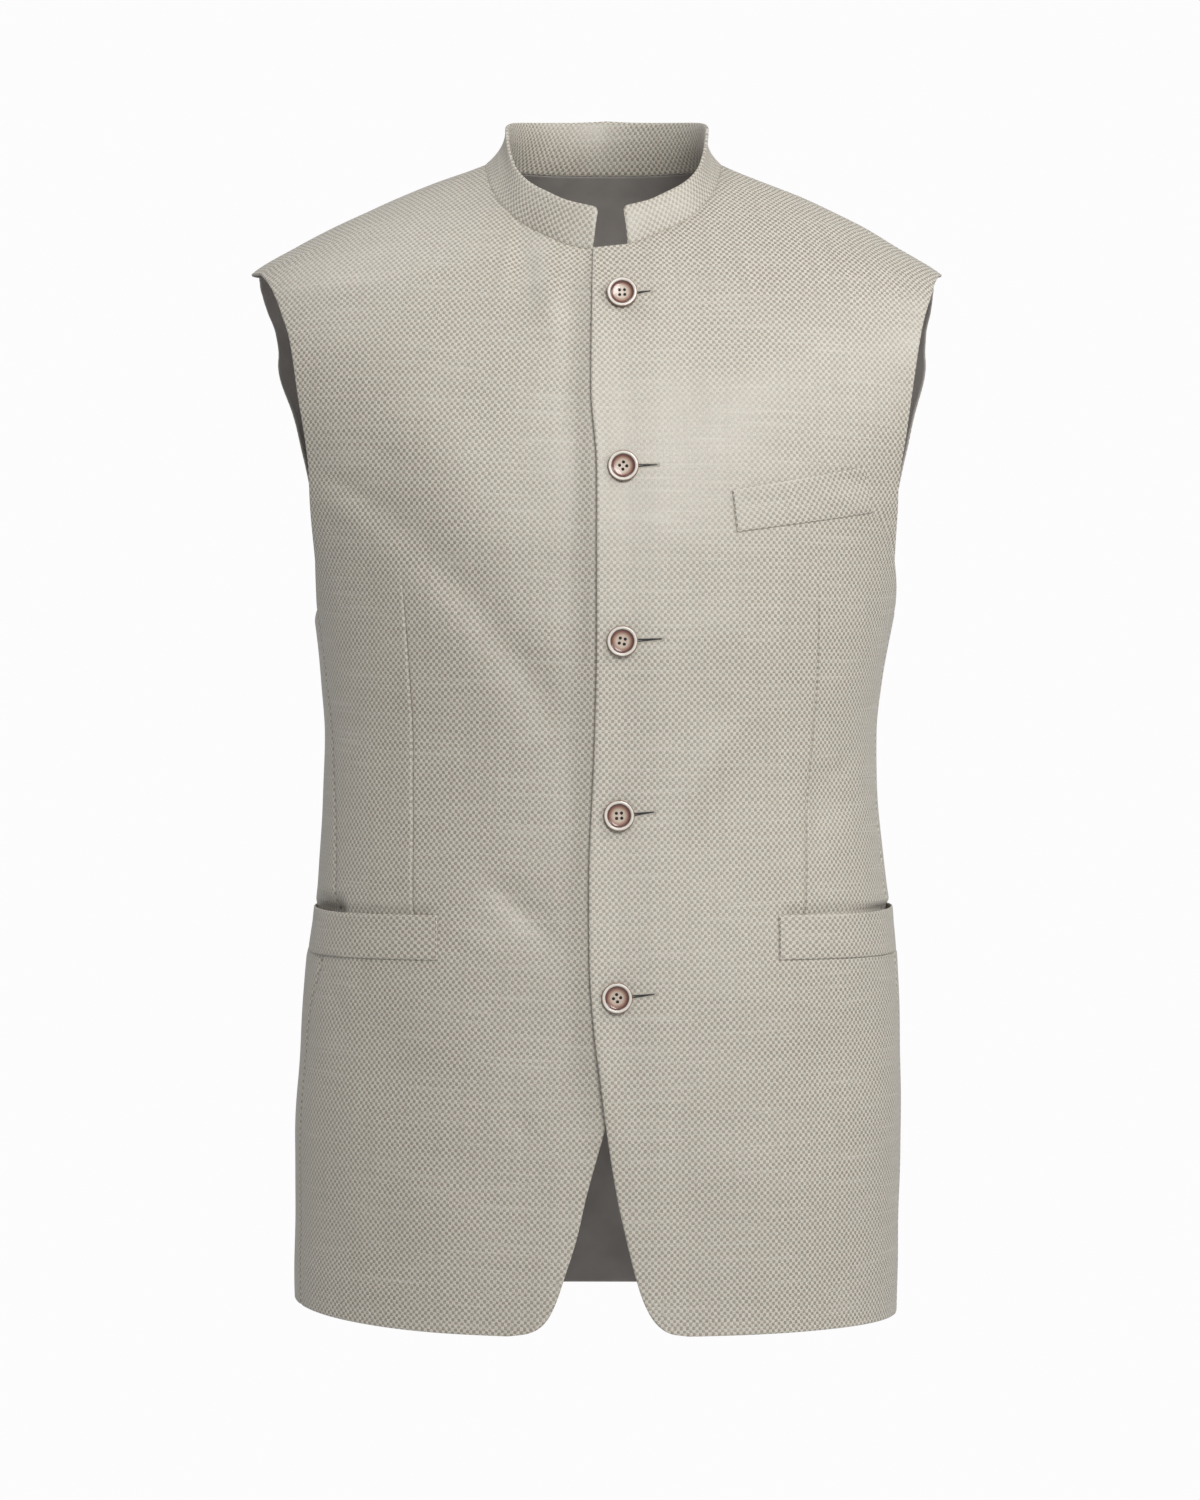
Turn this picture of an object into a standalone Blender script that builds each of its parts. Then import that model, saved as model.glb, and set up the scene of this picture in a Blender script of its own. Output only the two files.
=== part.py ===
"""Nehru jacket: sleeveless and stand-collared, in the hollow form it has when it is worn and buttoned.

Frame: metres, +Z up, the front faces -Y and the wearer's left is +X. The origin is the middle of the neck
opening, at the height where the shoulders meet the neck. All the cloth follows one set of level rings: a point
has a turn round the body (0 at the centre front, pi at the centre back, positive to the wearer's left), a
height, and a rise outwards from the ring.
"""
import math

import bmesh
import bpy
import numpy as np
from mathutils import Matrix, Vector

OBJECT_NAME = "nehru_jacket"

# Cloth
BODY_CLOTH = 0.0020
COLLAR_CLOTH = 0.0024
WELT_CLOTH = 0.0016
SEAM_GAP = 0.0005            # between the middles of two walls, about 0.3 mm at their inner corners
SHOULDER_SEAM_GAP = 0.0007
COLLAR_SEAM_GAP = 0.0009
MERGE_DISTANCE = 0.00001

# Heights
HEM_HEIGHT = -0.727
SHOULDER_TIP_HEIGHT = -0.066
SIDE_SEAM_TOP = -0.281
REAR_SEAM_TOP = -0.274
ARMHOLE_LOWEST = -0.290

# Turns of the seams, in degrees
SHOULDER_SEAM_TURN = 98.0
REAR_SEAM_TURN = 114.0

# The body, one row for each level ring, from the neck down to the hem
BODY_COLUMNS = ("height", "right", "left", "front", "back")
BODY_RINGS = (
    (0.012, 0.0518, 0.0578, 0.0080, 0.0560),
    (0.006, 0.0668, 0.0718, 0.0120, 0.0610),
    (0.000, 0.0818, 0.0848, 0.0180, 0.0660),
    (-0.008, 0.1043, 0.1048, 0.0290, 0.0730),
    (-0.018, 0.1288, 0.1298, 0.0405, 0.0800),
    (-0.028, 0.1508, 0.1508, 0.0510, 0.0860),
    (-0.038, 0.1718, 0.1703, 0.0610, 0.0915),
    (-0.050, 0.1943, 0.1898, 0.0710, 0.0970),
    (-0.066, 0.2210, 0.2190, 0.0830, 0.1040),
    (-0.088, 0.2410, 0.2405, 0.0950, 0.1120),
    (-0.115, 0.2430, 0.2460, 0.1070, 0.1190),
    (-0.150, 0.2290, 0.2340, 0.1190, 0.1250),
    (-0.200, 0.2060, 0.2120, 0.1300, 0.1280),
    (-0.250, 0.1890, 0.1960, 0.1345, 0.1250),
    (-0.290, 0.1820, 0.1890, 0.1345, 0.1200),
    (-0.325, 0.1785, 0.1815, 0.1325, 0.1140),
    (-0.360, 0.1770, 0.1775, 0.1300, 0.1100),
    (-0.402, 0.1780, 0.1785, 0.1285, 0.1080),
    (-0.453, 0.1810, 0.1837, 0.1300, 0.1120),
    (-0.504, 0.1875, 0.1907, 0.1320, 0.1185),
    (-0.560, 0.1920, 0.1925, 0.1325, 0.1240),
    (-0.620, 0.1955, 0.1920, 0.1320, 0.1270),
    (-0.671, 0.1955, 0.1910, 0.1310, 0.1280),
    (-0.727, 0.1945, 0.1905, 0.1300, 0.1285),
)
ROUND_POWER = 2.0
FULL_POWER = 2.35
FULL_FROM = -0.030
FULL_AT = -0.180

# The neckline, by the angle round the neck from the centre front; at 90 degrees it meets the shoulders' ridges
NECK_COLUMNS = ("angle", "height")
NECKLINE = (
    (0.0, -0.0600),
    (15.0, -0.0565),
    (31.0, -0.0475),
    (52.0, -0.0325),
    (70.0, -0.0150),
    (90.0, 0.0035),
    (135.0, 0.0050),
    (180.0, 0.0060),
)

# The collar's top edge: its own ring, by the same angle
COLLAR_TOP_SHIFT = 0.0045
COLLAR_TOP_HALF_WIDTH = 0.0640
COLLAR_TOP_FRONT = -0.0760
COLLAR_TOP_BACK = 0.0560
COLLAR_COLUMNS = ("angle", "height", "belly")
COLLAR_TOP = (
    (0.0, -0.0340, 0.0006),
    (23.0, -0.0275, 0.0008),
    (36.0, -0.0210, 0.0008),
    (48.0, -0.0145, 0.0006),
    (64.0, -0.0025, -0.0010),
    (76.0, 0.0110, -0.0030),
    (90.0, 0.0270, -0.0046),
    (135.0, 0.0370, -0.0036),
    (180.0, 0.0410, -0.0020),
)
COLLAR_END_FOOT = {"right": -0.0045, "left": 0.0170}
COLLAR_END_HEAD = {"right": -0.0012, "left": 0.0145}

# The armholes' edges: each front's distance from the middle of the body, and the back's turn in degrees
ARMHOLE_COLUMNS = ("height", "right", "left", "back_turn")
ARMHOLE = (
    (-0.0690, 0.2150, 0.2150, 103.0),
    (-0.0760, 0.2090, 0.2110, 111.0),
    (-0.0850, 0.2040, 0.2080, 117.0),
    (-0.0990, 0.1985, 0.2030, 121.0),
    (-0.1130, 0.1935, 0.1995, 122.5),
    (-0.1510, 0.1870, 0.1935, 122.0),
    (-0.1770, 0.1830, 0.1895, 120.0),
    (-0.2020, 0.1808, 0.1858, 117.5),
    (-0.2270, 0.1794, 0.1848, 115.5),
    (-0.2520, 0.1780, 0.1840, 114.3),
)

# The fronts' free edges: distance from the middle of the body at each height
EDGE_COLUMNS = ("height", "left", "right")
FRONT_EDGES = (
    (-0.0600, -0.0045, 0.0290),
    (-0.1500, -0.0055, 0.0295),
    (-0.2000, -0.0020, 0.0300),
    (-0.3050, -0.0020, 0.0295),
    (-0.3700, -0.0035, 0.0285),
    (-0.4550, -0.0068, 0.0270),
    (-0.4950, -0.0066, 0.0245),
    (-0.5400, -0.0038, 0.0175),
    (-0.5700, 0.0000, 0.0110),
    (-0.5990, 0.0036, 0.0036),
    (-0.6430, 0.0105, -0.0085),
    (-0.6670, 0.0158, -0.0140),
    (-0.6920, 0.0220, -0.0219),
    (-0.7050, 0.0262, -0.0262),
    (-0.7160, 0.0318, -0.0315),
    (-0.7225, 0.0380, -0.0378),
    (-0.7255, 0.0440, -0.0450),
    (-0.7270, 0.0540, -0.0560),
)
TOP_EDGE_DROP = {"right": 0.0012, "left": 0.0024}
EDGE_CORNER = 0.002
LAP_MIDDLE = 0.0120
LAP_FLAT = 0.0220
LAP_FOLDED = 0.0480
OVERLAP_LIFT = 0.0017
OVERLAP_SINK = 0.0010
OVERLAP_FULL = 0.0330
OVERLAP_NONE = 0.0560

# The seams between the fronts and the side panels, in degrees of turn
SEAM_COLUMNS = ("height", "right", "left")
FRONT_SEAMS = (
    (-0.281, 74.0, 80.0),
    (-0.330, 71.0, 79.0),
    (-0.373, 68.0, 78.0),
    (-0.464, 62.5, 75.0),
    (-0.505, 65.0, 76.5),
    (-0.534, 70.0, 79.0),
    (-0.580, 72.0, 81.0),
    (-0.727, 71.5, 81.0),
)

# Folds: soft troughs (below zero) and ridges, from one end to the other, on the side that they face
FOLD_COLUMNS = ("facing", "from_x", "from_z", "to_x", "to_z", "width", "rise")
FOLDS = (
    ("front", -0.047, -0.052, -0.038, -0.115, 0.012, -0.0016),
    ("front", -0.033, -0.066, -0.028, -0.135, 0.011, 0.0012),
    ("front", -0.172, -0.190, -0.070, -0.285, 0.014, -0.0022),
    ("front", -0.150, -0.215, -0.062, -0.330, 0.018, 0.0020),
    ("front", -0.082, -0.275, -0.016, -0.370, 0.014, -0.0020),
    ("front", -0.075, -0.440, -0.024, -0.490, 0.014, -0.0018),
    ("front", 0.088, -0.345, 0.024, -0.440, 0.016, 0.0022),
    ("front", 0.150, -0.365, 0.130, -0.425, 0.013, -0.0018),
    ("front", -0.118, -0.150, -0.080, -0.240, 0.026, 0.0026),
    ("front", 0.118, -0.110, 0.085, -0.190, 0.030, 0.0020),
    ("front", -0.140, -0.510, -0.120, -0.600, 0.022, -0.0022),
    ("front", 0.150, -0.515, 0.135, -0.620, 0.022, -0.0022),
    ("front", -0.100, -0.600, -0.105, -0.727, 0.030, 0.0026),
    ("front", 0.095, -0.580, 0.100, -0.727, 0.032, 0.0024),
    ("back", -0.060, -0.120, -0.110, -0.230, 0.026, 0.0024),
    ("back", 0.060, -0.115, 0.115, -0.220, 0.026, 0.0022),
    ("back", -0.120, -0.330, -0.030, -0.372, 0.016, -0.0030),
    ("back", 0.130, -0.345, 0.045, -0.395, 0.016, -0.0028),
    ("back", -0.085, -0.395, 0.050, -0.410, 0.015, -0.0024),
    ("back", -0.070, -0.520, -0.080, -0.727, 0.034, 0.0036),
    ("back", 0.075, -0.500, 0.085, -0.727, 0.034, 0.0034),
    ("back", 0.000, -0.560, 0.004, -0.727, 0.028, -0.0030),
)

# Welts: a strip from its inner end round towards the side
WELT_GAP = 0.0007
HIP_WELT_TOP = -0.4712
HIP_WELT_BOTTOM = -0.4985
HIP_WELT_INNER = {"right": -0.0990, "left": 0.1090}
HIP_WELT_OUTER_TURN = {"right": -84.0, "left": 87.0}
HIP_WELT_GAPE = 0.0030
CHEST_WELT_INNER_TOP = (0.0800, -0.2115)
CHEST_WELT_INNER_BOTTOM = (0.0830, -0.2375)
CHEST_WELT_OUTER_TOP = (0.1620, -0.1955)
CHEST_WELT_OUTER_BOTTOM = (0.1675, -0.2230)

# Buttons
BUTTON_RADIUS = 0.0090
BUTTON_HEIGHT = 0.0036
BUTTON_RIM = 0.0026
BUTTON_DISH_FLOOR = 0.0021
BUTTON_HOLE_RADIUS = 0.00085
BUTTON_HOLE_CIRCLE = 0.0018
BUTTON_SEAT = BODY_CLOTH / 2 + 0.0005
BUTTON_STEPS = 24
BUTTON_HOLE_SIDES = 8
BUTTON_COLUMNS = ("x", "height", "twist")
BUTTONS = (
    (0.0135, -0.0888, 12.0),
    (0.0140, -0.1980, 40.0),
    (0.0134, -0.3038, 78.0),
    (0.0115, -0.4100, 5.0),
    (0.0103, -0.5205, 52.0),
)

# Grid counts
SEAM_ROWS = 22
ARMHOLE_ROWS = 17
EDGE_ROWS = 30
EDGE_CROWDING = 0.62
FRONT_COLUMNS_ACROSS = 18
SIDE_COLUMNS_ACROSS = 5
BACK_SHOULDER_COLUMNS = 8
BACK_NECK_COLUMNS = 12
NECK_CORNER_CLEAR = 0.05
COLLAR_COLUMNS_ROUND = 46
COLLAR_ROWS = 4
WELT_COLUMNS_ALONG = 22
WELT_ROWS = 3

CLOTH_COLOUR = (0.52, 0.49, 0.43, 1.0)
RIM_COLOUR = (0.55, 0.43, 0.34, 1.0)


def smooth_curve(rows, columns, key, value):
    """A curve through two named columns of a table, smooth and without overshoot between the rows."""
    at, to = columns.index(key), columns.index(value)
    pairs = sorted((row[at], row[to]) for row in rows)
    xs = np.array([pair[0] for pair in pairs])
    ys = np.array([pair[1] for pair in pairs])
    steps = np.diff(xs)
    slopes = np.diff(ys) / steps
    tangents = np.zeros(len(xs))
    tangents[0], tangents[-1] = slopes[0], slopes[-1]
    for i in range(1, len(xs) - 1):
        if slopes[i - 1] * slopes[i] > 0:
            before, after = steps[i - 1], steps[i]
            weight = 2 * after + before, after + 2 * before
            tangents[i] = sum(weight) / (weight[0] / slopes[i - 1] + weight[1] / slopes[i])

    def value_at(x):
        x = np.clip(x, xs[0], xs[-1])
        i = np.clip(np.searchsorted(xs, x) - 1, 0, len(steps) - 1)
        t = (x - xs[i]) / steps[i]
        start = (1 + 2 * t) * (1 - t) ** 2 * ys[i] + t * (1 - t) ** 2 * steps[i] * tangents[i]
        end = t * t * (3 - 2 * t) * ys[i + 1] + t * t * (t - 1) * steps[i] * tangents[i + 1]
        return start + end

    return value_at


def body_curve(value):
    return smooth_curve(BODY_RINGS, BODY_COLUMNS, "height", value)


right_half = body_curve("right")
left_half = body_curve("left")
front_depth = body_curve("front")
back_depth = body_curve("back")
neck_height = smooth_curve(NECKLINE, NECK_COLUMNS, "angle", "height")
collar_height = smooth_curve(COLLAR_TOP, COLLAR_COLUMNS, "angle", "height")
collar_belly = smooth_curve(COLLAR_TOP, COLLAR_COLUMNS, "angle", "belly")
armhole_edge = {side: smooth_curve(ARMHOLE, ARMHOLE_COLUMNS, "height", side) for side in ("right", "left")}
armhole_back_turn = smooth_curve(ARMHOLE, ARMHOLE_COLUMNS, "height", "back_turn")
front_edge = {side: smooth_curve(FRONT_EDGES, EDGE_COLUMNS, "height", side) for side in ("right", "left")}
front_seam = {side: smooth_curve(FRONT_SEAMS, SEAM_COLUMNS, "height", side) for side in ("right", "left")}
SIGN = {"right": -1.0, "left": 1.0}


def ease(value, start, end):
    """0 before start, 1 after end, and a smooth step between them."""
    t = np.clip((value - start) / (end - start), 0.0, 1.0)
    return t * t * (3 - 2 * t)


def ring_power(height):
    return ROUND_POWER + (FULL_POWER - ROUND_POWER) * ease(-height, -FULL_FROM, -FULL_AT)


def ring_reach(turn, height):
    power = ring_power(height)
    return (np.abs(np.sin(turn)) ** power + np.abs(np.cos(turn)) ** power) ** (-1 / power)


def ring_point(turn, height):
    """The point of the bare ring surface at a turn and a height, for numbers or arrays."""
    reach = ring_reach(turn, height)
    across, along = np.sin(turn), np.cos(turn)
    half = np.where(across >= 0, left_half(height), right_half(height))
    depth = np.where(along >= 0, front_depth(height), back_depth(height))
    return np.stack([half * across * reach, -depth * along * reach, height + 0.0 * turn], axis=-1)


def turn_at(x, height, facing="front"):
    """The turn at which the ring of a height has the given x, for numbers or arrays."""
    x, height = np.asarray(x, float), np.asarray(height, float)
    half = np.where(x >= 0, left_half(height), right_half(height))
    near = np.zeros_like(x + height) if facing == "front" else np.full_like(x + height, math.pi)
    far = np.full_like(near, math.pi / 2)
    for _ in range(48):
        middle = (near + far) / 2
        inside = half * np.sin(middle) * ring_reach(middle, height) < np.abs(x)
        near, far = np.where(inside, middle, near), np.where(inside, far, middle)
    return np.where(x >= 0, 1.0, -1.0) * (near + far) / 2


def ring_normal(turn, height):
    """The direction out of the cloth."""
    step_turn, step_height = 0.002, 0.0005
    along = ring_point(turn + step_turn, height) - ring_point(turn - step_turn, height)
    upward = ring_point(turn, height + step_height) - ring_point(turn, height - step_height)
    normal = np.cross(along, upward)
    return normal / np.linalg.norm(normal, axis=-1, keepdims=True)


def fold_rise(turn, height):
    """How far the folds lift the cloth, or let it sink, at each point."""
    points = ring_point(turn, height)
    x, z = points[..., 0], points[..., 2]
    faces_front = np.cos(turn) > 0
    total = np.zeros_like(x)
    for row in FOLDS:
        fold = dict(zip(FOLD_COLUMNS, row))
        run = np.array([fold["to_x"] - fold["from_x"], fold["to_z"] - fold["from_z"]])
        length = np.linalg.norm(run)
        run = run / length
        along = ((x - fold["from_x"]) * run[0] + (z - fold["from_z"]) * run[1]) / length
        aside = (x - fold["from_x"]) * run[1] - (z - fold["from_z"]) * run[0]
        beyond = np.where(along < 0, -along, np.where(along > 1, along - 1, 0)) * length
        swell = np.sin(np.clip(along, 0.12, 0.88) * math.pi)
        shape = np.exp(-((aside / fold["width"]) ** 2) - (beyond / (0.8 * fold["width"])) ** 2)
        on_side = faces_front if fold["facing"] == "front" else ~faces_front
        total = total + np.where(on_side, fold["rise"] * swell * shape, 0.0)
    clear_of_lap = ease(np.abs(x - LAP_MIDDLE), LAP_FLAT, LAP_FOLDED)
    return total * np.where(faces_front, clear_of_lap, 1.0)


def overlap_rise(side, turn, height):
    """The left front lies over the right one: one is lifted and the other sinks where they lie on each other."""
    x = ring_point(turn, height)[..., 0]
    near = 1 - ease(x, OVERLAP_FULL, OVERLAP_NONE)
    if side == "left":
        return OVERLAP_LIFT * near
    return -OVERLAP_SINK * ease(x, -0.030, -0.010)


def cloth_point(turn, height, rise):
    return ring_point(turn, height) + ring_normal(turn, height) * np.asarray(rise)[..., None]


def material(name, colour, roughness):
    made = bpy.data.materials.new(name)
    made.use_nodes = True
    shader = made.node_tree.nodes["Principled BSDF"]
    shader.inputs["Base Color"].default_value = colour
    shader.inputs["Roughness"].default_value = roughness
    shader.inputs["Metallic"].default_value = 0.0
    made.diffuse_color = colour
    return made


def grid_object(name, points, collection, finish, thickness=None):
    """A sheet from a grid of points, rows upwards and columns round to the wearer's left, given its wall."""
    rows, columns = points.shape[:2]
    sheet = bmesh.new()
    corners = [[sheet.verts.new(points[r, c]) for c in range(columns)] for r in range(rows)]
    for r in range(rows - 1):
        for c in range(columns - 1):
            ring = (corners[r][c], corners[r][c + 1], corners[r + 1][c + 1], corners[r + 1][c])
            sheet.faces.new(ring)
    mesh = bpy.data.meshes.new(name)
    sheet.to_mesh(mesh)
    sheet.free()
    mesh.shade_smooth()
    made = bpy.data.objects.new(name, mesh)
    collection.objects.link(made)
    made.data.materials.append(finish)
    wall = made.modifiers.new("wall", "SOLIDIFY")
    wall.thickness = thickness or BODY_CLOTH
    wall.offset = 0.0
    wall.use_even_offset = True
    return made


def coons(bottom, top, start, end):
    """Fills a four-sided patch of turns and heights from its edges."""
    columns, rows = len(bottom), len(start)
    u = np.linspace(0, 1, columns)[None, :, None]
    v = np.linspace(0, 1, rows)[:, None, None]
    sides = (1 - u) * start[:, None, :] + u * end[:, None, :]
    ends = (1 - v) * bottom[None, :, :] + v * top[None, :, :]
    corners = (
        (1 - u) * (1 - v) * bottom[0] + u * (1 - v) * bottom[-1]
        + (1 - u) * v * top[0] + u * v * top[-1]
    )
    return sides + ends - corners


def evenly(path, count, crowding=0.0):
    """Places points along a path of turns and heights: at equal steps, or crowded towards both ends."""
    path = np.asarray(path)
    points = ring_point(path[:, 0], path[:, 1])
    run = np.concatenate([[0], np.cumsum(np.linalg.norm(np.diff(points, axis=0), axis=1))])
    t = np.linspace(0, 1, count)
    wanted = run[-1] * (t - crowding * np.sin(2 * math.pi * t) / (2 * math.pi))
    return np.stack([np.interp(wanted, run, path[:, 0]), np.interp(wanted, run, path[:, 1])], axis=1)


def gap_turn(turn, height, gap):
    """A turn moved round the ring by a distance."""
    step = 0.001
    here = ring_point(np.array(turn), np.array(height))
    there = ring_point(np.array(turn + step), np.array(height))
    return turn + gap * step / np.linalg.norm(there - here)


def seam_column(side, top, turn_of, gap):
    """The points of a side seam from the hem up, moved round by the gap."""
    heights = np.linspace(HEM_HEIGHT, top, SEAM_ROWS + 1)
    sign = SIGN[side]
    turns = [gap_turn(sign * math.radians(turn_of(h)), h, gap) for h in heights]
    return np.stack([turns, heights], axis=1)


def armhole_path(side, piece):
    """The armhole's edge of a front or of the back, from the top of its seam up to the shoulder seam."""
    sign = SIGN[side]
    heights = np.linspace(ARMHOLE[-1][0], ARMHOLE[0][0], 40)
    if piece == "front":
        start = (sign * math.radians(front_seam[side](SIDE_SEAM_TOP)), SIDE_SEAM_TOP)
        middle = [(float(turn_at(sign * armhole_edge[side](h), h)), h) for h in heights]
    else:
        start = (sign * math.radians(REAR_SEAM_TURN), REAR_SEAM_TOP)
        middle = [(sign * math.radians(armhole_back_turn(h)), h) for h in heights]
    end = (sign * math.radians(SHOULDER_SEAM_TURN), SHOULDER_TIP_HEIGHT)
    return [start] + middle + [end]


def neck_half(side):
    """The neckline's distance from the middle of the body where it crosses a shoulder's ridge."""
    return float(left_half(neck_height(90)) if side == "left" else right_half(neck_height(90)))


def neck_angle(side, x):
    """The angle round the front of the neck at which the neckline has the given x."""
    return math.degrees(math.asin(x / neck_half("left" if x > 0 else "right")))


def neck_path(angles):
    """The neckline at some angles round the neck, as turns and heights on the rings."""
    path = []
    for angle in angles:
        height = float(neck_height(abs(angle)))
        x = neck_half("left" if angle > 0 else "right") * math.sin(math.radians(angle))
        path.append((float(turn_at(x, height, "front" if abs(angle) <= 90 else "back")), height))
    return np.array(path)


def neck_crossing(side):
    """Where the shoulder seam meets the neckline."""
    path = neck_path(SIGN[side] * np.linspace(90, 120, 61))
    seam_turn = math.radians(SHOULDER_SEAM_TURN)
    height = float(np.interp(seam_turn, np.abs(path[:, 0]), path[:, 1]))
    return SIGN[side] * seam_turn, height


def front_points(side):
    """One front: free edge and neckline on one side, side seam and armhole on the other."""
    sign = SIGN[side]
    neck_point = neck_crossing(side)
    neck = neck_path(np.linspace(neck_angle(side, COLLAR_END_FOOT[side]), sign * 100, 80))
    neck = neck[np.abs(neck[:, 0]) < abs(neck_point[0])]
    top_height = neck[0][1] - TOP_EDGE_DROP[side]
    edge_x = float(front_edge[side](FRONT_EDGES[0][0]))
    corner = (float(turn_at(edge_x, top_height)), top_height)
    heights = HEM_HEIGHT + (top_height - EDGE_CORNER - HEM_HEIGHT) * np.linspace(0, 1, 160) ** 2
    edge = [(float(turn_at(front_edge[side](h), h)), h) for h in heights]
    neck_rows = SEAM_ROWS + ARMHOLE_ROWS - EDGE_ROWS
    lower = evenly(edge + [corner], EDGE_ROWS + 1, EDGE_CROWDING)
    upper = evenly(np.concatenate([[corner], neck, [neck_point]]), neck_rows + 1)
    inner = np.concatenate([lower, upper[1:]])
    seam = seam_column(side, SIDE_SEAM_TOP, front_seam[side], -sign * SEAM_GAP / 2)
    armhole = evenly(armhole_path(side, "front"), ARMHOLE_ROWS + 1)
    armhole[0] = seam[-1]
    outer = np.concatenate([seam, armhole[1:]])
    across = np.linspace(0, 1, FRONT_COLUMNS_ACROSS + 1)[:, None]
    hem = inner[0] + (outer[0] - inner[0]) * across
    shoulder = inner[-1] + (outer[-1] - inner[-1]) * across
    grid = coons(hem, shoulder, inner, outer)
    if side == "right":
        grid = grid[:, ::-1]
    turn, height = grid[..., 0], grid[..., 1]
    return cloth_point(turn, height, fold_rise(turn, height) + overlap_rise(side, turn, height))


def side_points(side):
    """The panel under an arm, between the front's seam and the back's."""
    sign = SIGN[side]
    fore = seam_column(side, SIDE_SEAM_TOP, front_seam[side], sign * SEAM_GAP / 2)
    rear = seam_column(side, REAR_SEAM_TOP, lambda h: REAR_SEAM_TURN, -sign * SEAM_GAP / 2)
    across = np.linspace(0, 1, SIDE_COLUMNS_ACROSS + 1)
    hem = fore[0] + (rear[0] - fore[0]) * across[:, None]
    top = fore[-1] + (rear[-1] - fore[-1]) * across[:, None]
    dip = ARMHOLE_LOWEST - (SIDE_SEAM_TOP + REAR_SEAM_TOP) / 2
    top[:, 1] += dip * np.sin(across * math.pi)
    grid = coons(hem, top, fore, rear)
    if side == "right":
        grid = grid[:, ::-1]
    turn, height = grid[..., 0], grid[..., 1]
    return cloth_point(turn, height, fold_rise(turn, height))


def back_outer(side):
    """The back's edge on one side: rear seam, then armhole."""
    sign = SIGN[side]
    seam = seam_column(side, REAR_SEAM_TOP, lambda h: REAR_SEAM_TURN, sign * SEAM_GAP / 2)
    armhole = evenly(armhole_path(side, "back"), ARMHOLE_ROWS + 1)
    armhole[0] = seam[-1]
    outer = np.concatenate([seam, armhole[1:]])
    outer[-1, 0] = gap_turn(outer[-1, 0], outer[-1, 1], sign * SHOULDER_SEAM_GAP)
    return outer


def back_top(side, tip):
    """The back's top edge on one side: shoulder seam from its tip, then neckline to the centre back."""
    sign = SIGN[side]
    seam_turn, seam_height = neck_crossing(side)
    corner = np.array([gap_turn(seam_turn, seam_height, sign * SHOULDER_SEAM_GAP), seam_height])
    steps = np.linspace(0, 1, BACK_SHOULDER_COLUMNS + 1)[:, None]
    shoulder = tip * (1 - steps) + corner * steps
    neck = neck_path(sign * np.linspace(91, 180, 120))
    neck = neck[np.abs(neck[:, 0]) > abs(corner[0]) + NECK_CORNER_CLEAR]
    neck[-1, 0] = sign * math.pi
    neck = evenly(np.concatenate([[corner], neck]), BACK_NECK_COLUMNS // 2 + 1)
    return np.concatenate([shoulder, neck[1:]])


def back_points():
    """The back in one piece, from the wearer's left round to the right."""
    outer = {side: back_outer(side) for side in ("left", "right")}
    top_left = back_top("left", outer["left"][-1])
    top_right = back_top("right", outer["right"][-1])[::-1][1:]
    top_right[:, 0] += 2 * math.pi
    outer["right"][:, 0] += 2 * math.pi
    top = np.concatenate([top_left, top_right])
    hem = outer["left"][0] + (outer["right"][0] - outer["left"][0]) * np.linspace(0, 1, len(top))[:, None]
    edges = (hem, top, outer["left"], outer["right"])
    flat = [np.stack([ring_point(e[:, 0], e[:, 1])[:, 0], e[:, 1]], axis=1) for e in edges]
    grid = coons(*flat)
    height = grid[..., 1]
    turn = turn_at(grid[..., 0], height, "back")
    return cloth_point(turn, height, fold_rise(turn, height))


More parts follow.
